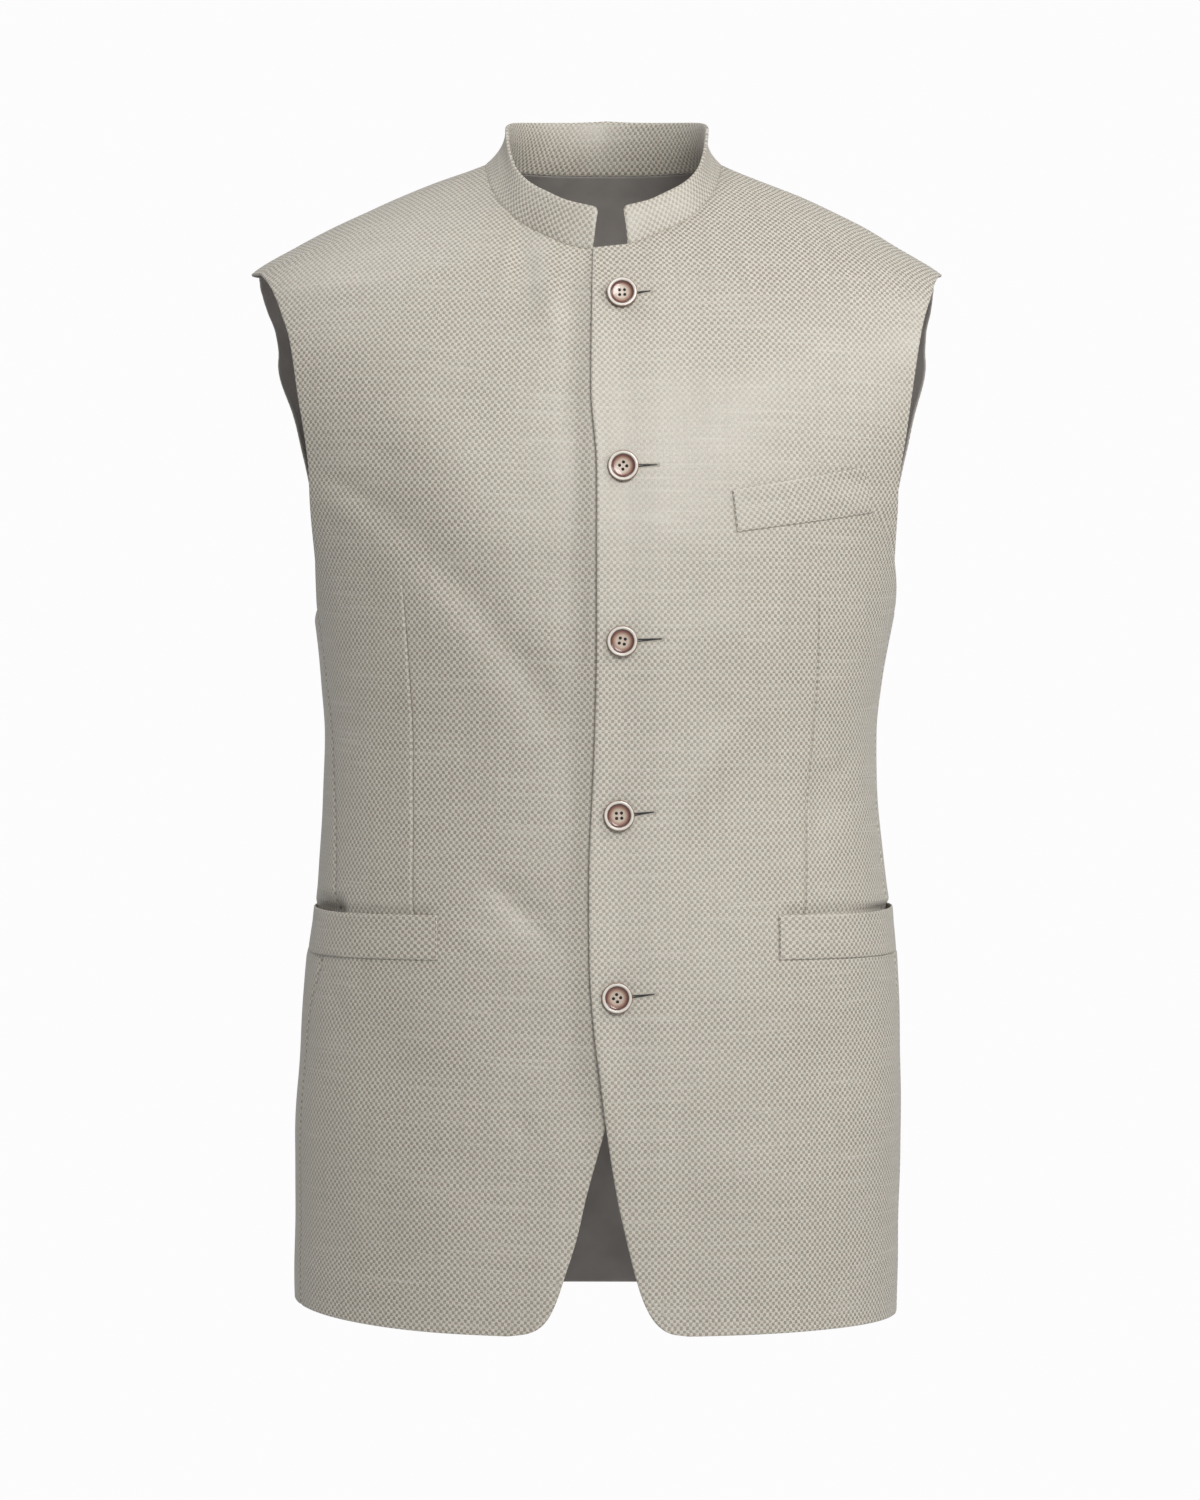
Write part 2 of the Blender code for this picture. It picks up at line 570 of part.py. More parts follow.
def collar_points():
    """The stand collar, from its left front end round the back of the neck to its right front end."""
    across = np.linspace(0, 1, COLLAR_COLUMNS_ROUND + 1)
    angles = {}
    for edge, ends, half in (("foot", COLLAR_END_FOOT, None), ("head", COLLAR_END_HEAD, COLLAR_TOP_HALF_WIDTH)):
        if half is None:
            first, last = neck_angle("left", ends["left"]), neck_angle("right", ends["right"])
        else:
            first, last = (math.degrees(math.asin((ends[s] - COLLAR_TOP_SHIFT) / half)) for s in ("left", "right"))
        angles[edge] = first + (360 + last - first) * across
    around = np.where(angles["foot"] <= 180, angles["foot"], angles["foot"] - 360)
    path = neck_path(around)
    lap = np.where(
        around > 0,
        overlap_rise("left", path[:, 0], path[:, 1]),
        overlap_rise("right", path[:, 0], path[:, 1]),
    )
    lap = np.where(np.abs(around) < 90, lap, 0.0)
    foot = cloth_point(path[:, 0], path[:, 1], fold_rise(path[:, 0], path[:, 1]) + lap)
    outward = ring_normal(path[:, 0], path[:, 1])
    swing = np.radians(angles["head"])
    folded = 180 - np.abs(angles["head"] - 180)
    middle = (COLLAR_TOP_FRONT + COLLAR_TOP_BACK) / 2
    half_depth = (COLLAR_TOP_BACK - COLLAR_TOP_FRONT) / 2
    head = np.stack([
        COLLAR_TOP_SHIFT + COLLAR_TOP_HALF_WIDTH * np.sin(swing),
        middle - half_depth * np.cos(swing),
        collar_height(folded),
    ], axis=1)
    upward = head - foot
    upward /= np.linalg.norm(upward, axis=1, keepdims=True)
    along = np.gradient(foot, axis=0)
    along /= np.linalg.norm(along, axis=1, keepdims=True)
    cloth_upward = np.cross(outward, along)
    bend = np.arccos(np.clip(np.sum(cloth_upward * upward, axis=1), -1, 1))
    gap = COLLAR_SEAM_GAP + (BODY_CLOTH + COLLAR_CLOTH) / 2 * np.tan(bend / 2)
    foot = foot + upward * gap[:, None]
    level = np.stack([np.sin(swing), -np.cos(swing), np.zeros(len(swing))], axis=1)
    grid = []
    for t in np.linspace(0, 1, COLLAR_ROWS + 1):
        belly = collar_belly(folded) * 4 * t * (1 - t)
        grid.append(foot + (head - foot) * t + level * belly[:, None])
    return np.array(grid)


def welt_points(outline, gape):
    """A welt on its front: outline gives turn and height from its two ends, gape lifts its outer top corner."""
    (inner_top, inner_bottom), (outer_top, outer_bottom) = outline
    along = np.linspace(0, 1, WELT_COLUMNS_ALONG + 1)[None, :, None]
    upward = np.linspace(0, 1, WELT_ROWS + 1)[:, None, None]
    bottom = np.array(inner_bottom) * (1 - along) + np.array(outer_bottom) * along
    top = np.array(inner_top) * (1 - along) + np.array(outer_top) * along
    grid = bottom * (1 - upward) + top * upward
    turn, height = grid[..., 0], grid[..., 1]
    stand_off = BODY_CLOTH / 2 + WELT_GAP + WELT_CLOTH / 2
    opening = gape * ease(along[..., 0], 0.45, 1.0) * upward[..., 0] ** 1.3
    points = cloth_point(turn, height, fold_rise(turn, height) + stand_off + opening)
    if turn[0, -1] < turn[0, 0]:
        points = points[:, ::-1]
    return points


def hip_welt_points(side):
    inner, outer = HIP_WELT_INNER[side], math.radians(HIP_WELT_OUTER_TURN[side])
    inner_end = [(float(turn_at(inner, z)), z) for z in (HIP_WELT_TOP, HIP_WELT_BOTTOM)]
    outer_end = [(outer, z) for z in (HIP_WELT_TOP, HIP_WELT_BOTTOM)]
    return welt_points((inner_end, outer_end), HIP_WELT_GAPE)


def chest_welt_points():
    inner_end = [(float(turn_at(x, z)), z) for x, z in (CHEST_WELT_INNER_TOP, CHEST_WELT_INNER_BOTTOM)]
    outer_end = [(float(turn_at(x, z)), z) for x, z in (CHEST_WELT_OUTER_TOP, CHEST_WELT_OUTER_BOTTOM)]
    return welt_points((inner_end, outer_end), 0.0)


def button_mesh(collection, cutters, finish):
    """A sewing button: a turned dish with a round rim, pierced by four holes."""
    profile = (
        (0.0, BUTTON_DISH_FLOOR),
        (0.55 * BUTTON_RADIUS, BUTTON_DISH_FLOOR),
        (BUTTON_RADIUS - BUTTON_RIM, BUTTON_DISH_FLOOR + 0.0004),
        (BUTTON_RADIUS - 0.62 * BUTTON_RIM, BUTTON_HEIGHT - 0.0002),
        (BUTTON_RADIUS - 0.36 * BUTTON_RIM, BUTTON_HEIGHT),
        (BUTTON_RADIUS - 0.10 * BUTTON_RIM, BUTTON_HEIGHT - 0.0004),
        (BUTTON_RADIUS, BUTTON_HEIGHT - 0.0012),
        (0.88 * BUTTON_RADIUS, 0.0008),
        (0.62 * BUTTON_RADIUS, 0.0),
        (0.0, 0.0),
    )
    mesh = bpy.data.meshes.new("button_profile")
    count = len(profile)
    mesh.from_pydata([(r, 0.0, z) for r, z in profile], [(i, i + 1) for i in range(count - 1)], [])
    turned = bpy.data.objects.new("button_turned", mesh)
    collection.objects.link(turned)
    screw = turned.modifiers.new("turn", "SCREW")
    screw.steps = BUTTON_STEPS
    screw.render_steps = BUTTON_STEPS
    screw.use_merge_vertices = True
    screw.merge_threshold = MERGE_DISTANCE
    for i in range(4):
        swing = math.radians(45 + 90 * i)
        place = (BUTTON_HOLE_CIRCLE * math.cos(swing), BUTTON_HOLE_CIRCLE * math.sin(swing), 0.0)
        drill = bmesh.new()
        bmesh.ops.create_cone(
            drill, cap_ends=True, segments=BUTTON_HOLE_SIDES, radius1=BUTTON_HOLE_RADIUS,
            radius2=BUTTON_HOLE_RADIUS, depth=3 * BUTTON_HEIGHT,
            matrix=Matrix.Translation(place),
        )
        drill_mesh = bpy.data.meshes.new(f"button_drill_{i + 1}")
        drill.to_mesh(drill_mesh)
        drill.free()
        cutter = bpy.data.objects.new(f"button_drill_{i + 1}", drill_mesh)
        cutter.hide_render = True
        cutter.display_type = "WIRE"
        cutters.objects.link(cutter)
        hole = turned.modifiers.new(f"hole_{i + 1}", "BOOLEAN")
        hole.operation = "DIFFERENCE"
        hole.solver = "EXACT"
        hole.object = cutter
    bpy.context.view_layer.update()
    evaluated = turned.evaluated_get(bpy.context.evaluated_depsgraph_get())
    button = bpy.data.meshes.new_from_object(evaluated)
    button.name = "button"
    bpy.data.objects.remove(turned)
    button.materials.clear()
    button.materials.append(finish)
    button.shade_smooth()
    button.set_sharp_from_angle(angle=math.radians(40))
    return button


def place_buttons(mesh, collection):
    """The buttons stand on the left front, square to the cloth."""
    for number, row in enumerate(BUTTONS, start=1):
        button = dict(zip(BUTTON_COLUMNS, row))
        turn = np.array(turn_at(button["x"], button["height"]))
        height = np.array(button["height"])
        rise = fold_rise(turn, height) + overlap_rise("left", turn, height) + BUTTON_SEAT
        seat = Vector(cloth_point(turn, height, rise))
        outward = Vector(ring_normal(turn, height))
        aside = Vector((1.0, 0.0, 0.0))
        upward = outward.cross(aside).normalized()
        aside = upward.cross(outward).normalized()
        spin = Matrix((aside, upward, outward)).transposed().to_4x4()
        made = bpy.data.objects.new(f"button_{number}", mesh)
        twist = Matrix.Rotation(math.radians(button["twist"]), 4, "Z")
        made.matrix_world = Matrix.Translation(seat) @ spin @ twist
        collection.objects.link(made)


def main():
    for old in list(bpy.data.objects):
        bpy.data.objects.remove(old)
    parts = bpy.data.collections.new(OBJECT_NAME)
    cutters = bpy.data.collections.new("cutters")
    for made in (parts, cutters):
        bpy.context.scene.collection.children.link(made)

    def cloth(name):
        return material(name, CLOTH_COLOUR, 0.85)

    for side in ("left", "right"):
        grid_object(f"front_{side}", front_points(side), parts, cloth(f"front_{side}_cloth"))
        grid_object(f"side_{side}", side_points(side), parts, cloth(f"side_{side}_cloth"))
        grid_object(f"hip_welt_{side}", hip_welt_points(side), parts, cloth(f"hip_welt_{side}_cloth"), WELT_CLOTH)
    grid_object("back", back_points(), parts, cloth("back_cloth"))
    grid_object("collar", collar_points(), parts, cloth("collar_cloth"), COLLAR_CLOTH)
    grid_object("chest_welt", chest_welt_points(), parts, cloth("chest_welt_cloth"), WELT_CLOTH)
    place_buttons(button_mesh(parts, cutters, material("button_horn", RIM_COLOUR, 0.35)), parts)


main()
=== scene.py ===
"""Looks of the nehru jacket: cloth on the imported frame, its weave, seams, darts, welts, buttons and sewing.

Metres, +Z up, the front faces -Y and the wearer's left is +X. The cloth lies on level rings: a point has
a turn round the body (0 at the centre front, pi at the centre back, positive to the wearer's left), a height
and a rise off the ring.
"""
import math

import bmesh
import bpy
import numpy as np
from mathutils import Matrix, Vector


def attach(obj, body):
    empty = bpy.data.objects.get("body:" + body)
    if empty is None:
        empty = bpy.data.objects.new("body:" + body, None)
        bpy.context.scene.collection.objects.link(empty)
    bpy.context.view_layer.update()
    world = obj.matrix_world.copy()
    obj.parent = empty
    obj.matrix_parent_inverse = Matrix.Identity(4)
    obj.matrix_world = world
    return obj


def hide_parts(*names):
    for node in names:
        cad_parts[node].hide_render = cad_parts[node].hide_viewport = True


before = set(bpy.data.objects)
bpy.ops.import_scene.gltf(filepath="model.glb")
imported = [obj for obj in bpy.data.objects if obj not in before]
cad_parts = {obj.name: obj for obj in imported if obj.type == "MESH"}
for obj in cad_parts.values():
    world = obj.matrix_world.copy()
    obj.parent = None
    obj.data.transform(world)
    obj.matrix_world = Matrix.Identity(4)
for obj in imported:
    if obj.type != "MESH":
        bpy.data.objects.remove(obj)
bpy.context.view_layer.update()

# Camera and light
CAMERA_DISTANCE = 2.6
CAMERA_HEIGHT = -0.370
CAMERA_LENS = 97.5
CAMERA_SENSOR = 36.0
FLOOR_HEIGHT = -1.45
FLOOR_RADIUS = 12.0
FLOOR_SIDES = 96
BACKDROP_COLOUR = (0.985, 0.975, 0.980)
LIGHT_COLUMNS = ("name", "place", "size", "watts", "colour")
LIGHTS = (
    ("key", (0.56, -2.10, 0.66), 0.9, 31.5, (1.0, 0.995, 0.985)),
    ("side_light", (1.95, -0.71, 0.85), 0.9, 17.0, (1.0, 0.995, 0.985)),
    ("top_light", (-1.00, -0.18, 1.83), 0.9, 11.0, (1.0, 1.0, 1.0)),
)
LIGHT_AIM = (0.0, 0.0, -0.35)
AMBIENT = 0.40
AMBIENT_COLOUR = (0.97, 0.985, 1.0, 1.0)
FLOOR_COLOUR = (0.80, 0.80, 0.80, 1.0)

# Cloth walls and how the pieces meet
BODY_CLOTH = 0.0020
COLLAR_CLOTH = 0.0024
WELT_CLOTH = 0.0016
SEAM_OVERLAP = 0.0003
EDGE_ROUNDING = 0.0008
COLLAR_ROUNDING = 0.0014
CROWDED_STEPS = (0.0001, 0.0003, 0.0008, 0.0020)

# Heights and turns of the seams
HEM_HEIGHT = -0.727
SHOULDER_TIP_HEIGHT = -0.066
SIDE_SEAM_TOP = -0.281
REAR_SEAM_TOP = -0.274
ARMHOLE_LOWEST = -0.290
SHOULDER_SEAM_TURN = 98.0
REAR_SEAM_TURN = 114.0

# The body, one row for each level ring, from the neck down to the hem
BODY_COLUMNS = ("height", "right", "left", "front", "back")
BODY_RINGS = (
    (0.012, 0.0518, 0.0578, 0.0080, 0.0560),
    (0.006, 0.0668, 0.0718, 0.0120, 0.0610),
    (0.000, 0.0818, 0.0848, 0.0180, 0.0660),
    (-0.008, 0.1043, 0.1048, 0.0290, 0.0730),
    (-0.018, 0.1288, 0.1298, 0.0405, 0.0800),
    (-0.028, 0.1508, 0.1508, 0.0510, 0.0860),
    (-0.038, 0.1718, 0.1703, 0.0610, 0.0915),
    (-0.050, 0.1943, 0.1898, 0.0710, 0.0970),
    (-0.066, 0.2210, 0.2160, 0.0830, 0.1040),
    (-0.088, 0.2410, 0.2405, 0.0950, 0.1120),
    (-0.115, 0.2430, 0.2460, 0.1070, 0.1190),
    (-0.150, 0.2290, 0.2340, 0.1190, 0.1250),
    (-0.200, 0.2060, 0.2120, 0.1300, 0.1280),
    (-0.250, 0.1890, 0.1940, 0.1345, 0.1250),
    (-0.290, 0.1804, 0.1854, 0.1345, 0.1200),
    (-0.325, 0.1769, 0.1785, 0.1325, 0.1140),
    (-0.360, 0.1754, 0.1757, 0.1300, 0.1100),
    (-0.402, 0.1760, 0.1767, 0.1285, 0.1080),
    (-0.453, 0.1790, 0.1819, 0.1300, 0.1120),
    (-0.504, 0.1859, 0.1889, 0.1320, 0.1185),
    (-0.560, 0.1904, 0.1907, 0.1325, 0.1240),
    (-0.620, 0.1939, 0.1902, 0.1320, 0.1270),
    (-0.671, 0.1939, 0.1892, 0.1310, 0.1280),
    (-0.727, 0.1929, 0.1887, 0.1300, 0.1285),
)
ROUND_POWER = 2.0
FULL_POWER = 2.35
FULL_FROM = -0.030
FULL_AT = -0.180

# The neckline, by the angle round the neck from the centre front, and the collar's top edge by the same angle
NECK_COLUMNS = ("angle", "height")
NECKLINE = (
    (0.0, -0.0600),
    (15.0, -0.0565),
    (31.0, -0.0475),
    (52.0, -0.0325),
    (70.0, -0.0150),
    (90.0, 0.0035),
    (135.0, 0.0050),
    (180.0, 0.0060),
)
COLLAR_TOP_SHIFT = 0.0045
COLLAR_TOP_HALF_WIDTH = 0.0640
COLLAR_TOP_FRONT = -0.0760
COLLAR_TOP_BACK = 0.0560
COLLAR_COLUMNS = ("angle", "height", "belly")
COLLAR_TOP = (
    (0.0, -0.0340, 0.0006),
    (23.0, -0.0275, 0.0008),
    (36.0, -0.0210, 0.0008),
    (48.0, -0.0145, 0.0006),
    (64.0, -0.0025, -0.0010),
    (76.0, 0.0110, -0.0030),
    (90.0, 0.0270, -0.0046),
    (135.0, 0.0370, -0.0036),
    (180.0, 0.0410, -0.0020),
)
COLLAR_END_FOOT = {"right": -0.0045, "left": 0.0170}
COLLAR_END_HEAD = {"right": -0.0012, "left": 0.0145}
COLLAR_CORNER = 0.0030
COLLAR_SOFTNESS = 0.00025

# The armholes' edges: each front's distance from the middle of the body, and the back's turn in degrees
ARMHOLE_COLUMNS = ("height", "right", "left", "back_turn")
ARMHOLE = (
    (-0.0690, 0.2150, 0.2150, 103.0),
    (-0.0760, 0.2090, 0.2110, 111.0),
    (-0.0850, 0.2040, 0.2080, 117.0),
    (-0.0990, 0.1985, 0.2030, 121.0),
    (-0.1130, 0.1935, 0.1995, 122.5),
    (-0.1510, 0.1870, 0.1935, 122.0),
    (-0.1770, 0.1830, 0.1895, 120.0),
    (-0.2020, 0.1808, 0.1858, 117.5),
    (-0.2270, 0.1794, 0.1848, 115.5),
    (-0.2520, 0.1780, 0.1840, 114.3),
)

# The fronts' free edges and side seams
EDGE_COLUMNS = ("height", "left", "right")
FRONT_EDGES = (
    (-0.0600, -0.0045, 0.0290),
    (-0.1500, -0.0055, 0.0295),
    (-0.2000, -0.0020, 0.0300),
    (-0.3050, -0.0020, 0.0295),
    (-0.3700, -0.0035, 0.0285),
    (-0.4550, -0.0068, 0.0270),
    (-0.4950, -0.0066, 0.0245),
    (-0.5400, -0.0038, 0.0175),
    (-0.5700, 0.0000, 0.0110),
    (-0.5990, 0.0036, 0.0036),
    (-0.6430, 0.0105, -0.0085),
    (-0.6670, 0.0158, -0.0140),
    (-0.6920, 0.0220, -0.0219),
    (-0.7050, 0.0262, -0.0262),
    (-0.7160, 0.0318, -0.0315),
    (-0.7225, 0.0380, -0.0378),
    (-0.7255, 0.0440, -0.0450),
    (-0.7270, 0.0540, -0.0560),
)
TOP_EDGE_DROP = {"right": 0.0012, "left": 0.0024}
EDGE_CORNER = 0.002
LAP_MIDDLE = 0.0120
LAP_FLAT = 0.0220
LAP_FOLDED = 0.0480
OVERLAP_LIFT = 0.0017
OVERLAP_SINK = 0.0010
OVERLAP_SINK_XS = (-0.030, -0.010)
OVERLAP_FULL = 0.0330
OVERLAP_NONE = 0.0560
EDGE_CURL = 0.0036
EDGE_CURL_REACH = 0.0110
EDGE_CURL_HEIGHTS = (-0.640, -0.560, -0.085, -0.070)
EDGE_RIDGE = 0.0026
EDGE_RIDGE_REACH = 0.0085
EDGE_RIDGE_HEIGHTS = (-0.600, -0.530, -0.085, -0.070)
SEAM_SINK = 0.0011
SEAM_REACH = 0.0024
SEAM_SINK_HEIGHTS = (SIDE_SEAM_TOP - 0.012, SIDE_SEAM_TOP + 0.004)
SEAM_COLUMNS = ("height", "right", "left")
FRONT_SEAMS = (
    (-0.281, 74.0, 80.0),
    (-0.330, 71.0, 79.0),
    (-0.373, 68.0, 78.0),
    (-0.464, 62.5, 75.0),
    (-0.505, 65.0, 76.5),
    (-0.534, 70.0, 79.0),
    (-0.580, 72.0, 81.0),
    (-0.727, 71.5, 81.0),
)

# Folds: soft troughs (below zero) and ridges, from one end to the other, on the side that they face
FOLD_COLUMNS = ("facing", "from_x", "from_z", "to_x", "to_z", "width", "rise")
FOLDS = (
    ("front", -0.050, -0.046, -0.045, -0.088, 0.010, -0.0042),
    ("front", -0.039, -0.066, -0.021, -0.116, 0.010, 0.0034),
    ("front", -0.172, -0.190, -0.070, -0.285, 0.014, -0.0022),
    ("front", -0.150, -0.215, -0.062, -0.330, 0.018, 0.0020),
    ("front", -0.082, -0.275, -0.016, -0.370, 0.014, -0.0020),
    ("front", -0.075, -0.440, -0.024, -0.490, 0.014, -0.0018),
    ("front", 0.088, -0.345, 0.024, -0.440, 0.016, 0.0022),
    ("front", 0.150, -0.365, 0.130, -0.425, 0.013, -0.0018),
    ("front", -0.118, -0.150, -0.080, -0.240, 0.026, 0.0026),
    ("front", 0.118, -0.110, 0.085, -0.190, 0.030, 0.0020),
    ("front", -0.140, -0.510, -0.120, -0.600, 0.022, -0.0022),
    ("front", 0.150, -0.515, 0.135, -0.620, 0.022, -0.0022),
    ("front", -0.100, -0.600, -0.105, -0.727, 0.030, 0.0026),
    ("front", 0.095, -0.580, 0.100, -0.727, 0.032, 0.0024),
    ("back", -0.060, -0.120, -0.110, -0.230, 0.026, 0.0024),
    ("back", 0.060, -0.115, 0.115, -0.220, 0.026, 0.0022),
    ("back", -0.120, -0.330, -0.030, -0.372, 0.016, -0.0030),
    ("back", 0.130, -0.345, 0.045, -0.395, 0.016, -0.0028),
    ("back", -0.085, -0.395, 0.050, -0.410, 0.015, -0.0024),
    ("back", -0.070, -0.520, -0.080, -0.727, 0.034, 0.0036),
    ("back", 0.075, -0.500, 0.085, -0.727, 0.034, 0.0034),
    ("back", 0.000, -0.560, 0.004, -0.727, 0.028, -0.0030),
)

FOLD_SWELL = (0.12, 0.88)
FOLD_END = 0.8

# Creases: finer than the folds, seen close to
CREASES = (
    ("front", -0.176, -0.196, -0.128, -0.226, 0.005, -0.0011),
    ("front", -0.172, -0.212, -0.124, -0.249, 0.006, 0.0009),
    ("front", -0.158, -0.176, -0.120, -0.196, 0.006, -0.0007),
    ("front", -0.112, -0.236, -0.070, -0.292, 0.008, -0.0010),
    ("front", -0.069, -0.287, -0.020, -0.360, 0.007, -0.0010),
    ("front", -0.060, -0.318, -0.028, -0.345, 0.006, 0.0006),
    ("front", -0.073, -0.445, -0.028, -0.486, 0.006, -0.0009),
    ("front", -0.100, -0.470, -0.058, -0.500, 0.008, 0.0007),
    ("front", -0.056, -0.580, -0.040, -0.616, 0.006, -0.0008),
    ("front", -0.168, -0.500, -0.160, -0.545, 0.006, -0.0009),
    ("front", -0.150, -0.640, -0.142, -0.700, 0.009, 0.0008),
    ("front", 0.030, -0.360, 0.050, -0.392, 0.007, 0.0006),
    ("front", 0.086, -0.352, 0.054, -0.398, 0.008, 0.0008),
    ("front", 0.138, -0.201, 0.184, -0.209, 0.005, -0.0008),
    ("front", 0.132, -0.214, 0.178, -0.222, 0.005, 0.0006),
    ("front", 0.164, -0.368, 0.140, -0.388, 0.006, -0.0010),
    ("front", 0.166, -0.396, 0.136, -0.412, 0.006, -0.0009),
    ("front", 0.142, -0.682, 0.146, -0.712, 0.009, -0.0009),
    ("front", 0.060, -0.560, 0.052, -0.620, 0.009, 0.0006),
    ("front", 0.160, -0.520, 0.168, -0.556, 0.007, -0.0009),
    ("back", -0.110, -0.342, -0.056, -0.366, 0.007, -0.0012),
    ("back", -0.140, -0.372, -0.078, -0.384, 0.007, -0.0010),
    ("back", 0.128, -0.356, 0.070, -0.388, 0.007, -0.0012),
    ("back", 0.142, -0.400, 0.084, -0.408, 0.007, 0.0009),
    ("back", -0.030, -0.384, 0.036, -0.392, 0.006, -0.0009),
    ("back", -0.052, -0.060, 0.040, -0.064, 0.010, -0.0012),
    ("back", -0.150, -0.236, -0.112, -0.286, 0.008, -0.0011),
    ("back", 0.152, -0.232, 0.110, -0.280, 0.008, -0.0010),
    ("back", 0.020, -0.600, 0.030, -0.680, 0.009, 0.0008),
    ("back", -0.126, -0.560, -0.132, -0.640, 0.010, -0.0009),
)
UNEVEN_COLUMNS = ("along_x", "along_z", "shift", "rise")
UNEVEN_FROM = -0.060
UNEVEN_AT = -0.110
UNEVEN_DEPTH = 0.6
UNEVEN = (
    (38.0, 21.0, 0.4, 0.00030),
    (-52.0, 33.0, 1.9, 0.00022),
    (17.0, -64.0, 3.1, 0.00020),
    (74.0, 58.0, 0.9, 0.00012),
    (-91.0, 47.0, 4.4, 0.00010),
    (29.0, 118.0, 2.2, 0.00010),
)

# Darts: where each one crosses its front, from its point down to the hip welt
DART_COLUMNS = ("height", "right", "left")
DARTS = (
    (-0.255, -0.1215, 0.1338),
    (-0.305, -0.1180, 0.1338),
    (-0.352, -0.1156, 0.1318),
    (-0.400, -0.1150, 0.1278),
    (-0.478, -0.1150, 0.1258),
)
DART_FADE = 0.045
DART_END = 0.002
DART_DEPTH = 0.00130
DART_WIDTH = 0.00060
DART_STEP = 0.00075
DART_STEP_REACH = 0.004
DART_OFFSETS = (0.0004, 0.0009, 0.0018, 0.0035)
DART_TRIES = 400
DART_RANGE = (0.25, 0.85)
DART_BEYOND = 0.86
DART_BLUR = 8

# Welts
HIP_WELT_TOP = -0.4712
HIP_WELT_BOTTOM = -0.4985
HIP_WELT_INNER = {"right": -0.0990, "left": 0.1090}
HIP_WELT_OUTER_TURN = {"right": -93.0, "left": 95.0}
HIP_WELT_GAPE = {"right": 0.0006, "left": 0.0013}
HIP_WELT_OUTER_RISE = 0.0034
HIP_WELT_SEAT = 0.0016
HIP_WELT_TUCK = 0.0022
HEM_LIFT = 0.0095
HEM_LIFT_REACH = 0.080
HEM_LIFT_TURNS = (0.25, 1.60, 1.70, 2.60)
MOUTH_DEPTH = {"right": 0.0048, "left": 0.0030}
MOUTH_REACH = {"right": 0.013, "left": 0.005}
MOUTH_TURNS = {"right": (55.0, 61.0, 68.0, 84.0), "left": (50.0, 70.0, 84.0, 94.0)}
MOUTH_LIP = 0.0015
SEAT_RISE = 0.006
SEAT_FADE = (0.001, 0.008)
SEAT_TURN_STEPS = (0.0, 3.0, -2.0, 4.0)
CHEST_WELT_INNER_TOP = (0.0800, -0.2115)
CHEST_WELT_INNER_BOTTOM = (0.0830, -0.2375)
CHEST_WELT_OUTER_TOP = (0.1620, -0.1955)
CHEST_WELT_OUTER_BOTTOM = (0.1675, -0.2230)
WELT_STAND = -0.0005
WELT_LIP = 0.0005
WELT_RISE_SPAN = (0.35, 1.0)
WELT_RISE_SHARES = (0.65, 0.35)
WELT_OPENING_SPAN = (0.38, 0.72)
WELT_CLOSING_SPAN = (0.85, 1.0)
WELT_CLOSING = 0.4
WELT_TUCK_SPAN = (0.55, 0.95)
PICK_INSET = 0.0007
PICK_END = 0.001

# Buttons
BUTTON_RADIUS = 0.0095
BUTTON_HEIGHT = 0.0036
BUTTON_HOLE_RADIUS = 0.00100
BUTTON_HOLE_CIRCLE = 0.0022
BUTTON_SEAT = BODY_CLOTH / 2 + 0.0005
BUTTON_SIDES = 72
BUTTON_LEVEL = 0.60
BUTTON_UNDERCUT = 0.0009
HOLE_SIDES = 20
HOLE_TURNS = tuple(math.radians(45 + 90 * hole) for hole in range(4))
HOLE_THREAD_LEVEL = 0.0011
SHANK_RADII = (0.0026, 0.0021)
SHANK_HEIGHT = 0.0030
SHANK_LEVEL = -0.0011
SHANK_SIDES = 20
SLIT_START = 0.0030
SLIT_HALF_WIDTH = 0.00085
PURL_ASIDE = 0.00145
PURL_TAPER = 0.0007
PURL_STEP = 0.00052
BAR_START = 0.0003
BAR_STEP = 0.00042
BAR_STITCHES = 5
BUTTON_COLUMNS = ("x", "height", "twist", "slit_x", "slit_height")
BUTTONS = (
    (0.0135, -0.0906, 2.0, 0.0306, -0.0884),
    (0.0140, -0.1980, 40.0, 0.0342, -0.1970),
    (0.0134, -0.3038, 78.0, 0.0370, -0.3024),
    (0.0115, -0.4100, 3.0, 0.0322, -0.4078),
    (0.0103, -0.5205, 52.0, 0.0324, -0.5184),
)
BUTTON_PROFILE_COLUMNS = ("radius", "height")
BUTTON_PROFILE = (
    (0.00, 0.515),
    (0.20, 0.520),
    (0.42, 0.545),
    (0.60, 0.590),
    (0.68, 0.650),
    (0.740, 0.750),
    (0.770, 0.870),
    (0.805, 0.960),
    (0.860, 1.000),
    (0.925, 0.985),
    (0.970, 0.915),
    (0.995, 0.780),
    (1.000, 0.640),
    (0.975, 0.470),
    (0.900, 0.250),
    (0.780, 0.090),
    (0.620, 0.010),
    (0.000, 0.000),
)
BUTTON_SPREAD = 30
HORN_COLOURS = (
    (0.000, (0.60, 0.51, 0.425)),
    (0.170, (0.56, 0.455, 0.37)),
    (0.232, (0.36, 0.225, 0.17)),
    (0.280, (0.18, 0.075, 0.054)),
    (0.320, (0.105, 0.036, 0.027)),
    (0.350, (0.115, 0.045, 0.033)),
    (0.364, (0.66, 0.62, 0.56)),
    (0.430, (0.74, 0.71, 0.66)),
    # From 0.448 on, the rim's outer side and the underside: dark brown, the horn's tan side darkened partly
    # as painted shade.
    (0.448, (0.40, 0.29, 0.20)),
    (0.465, (0.17, 0.10, 0.07)),
    (1.000, (0.17, 0.10, 0.07)),
)
HORN_MOTTLE = (0.30, 0.20, 0.15)

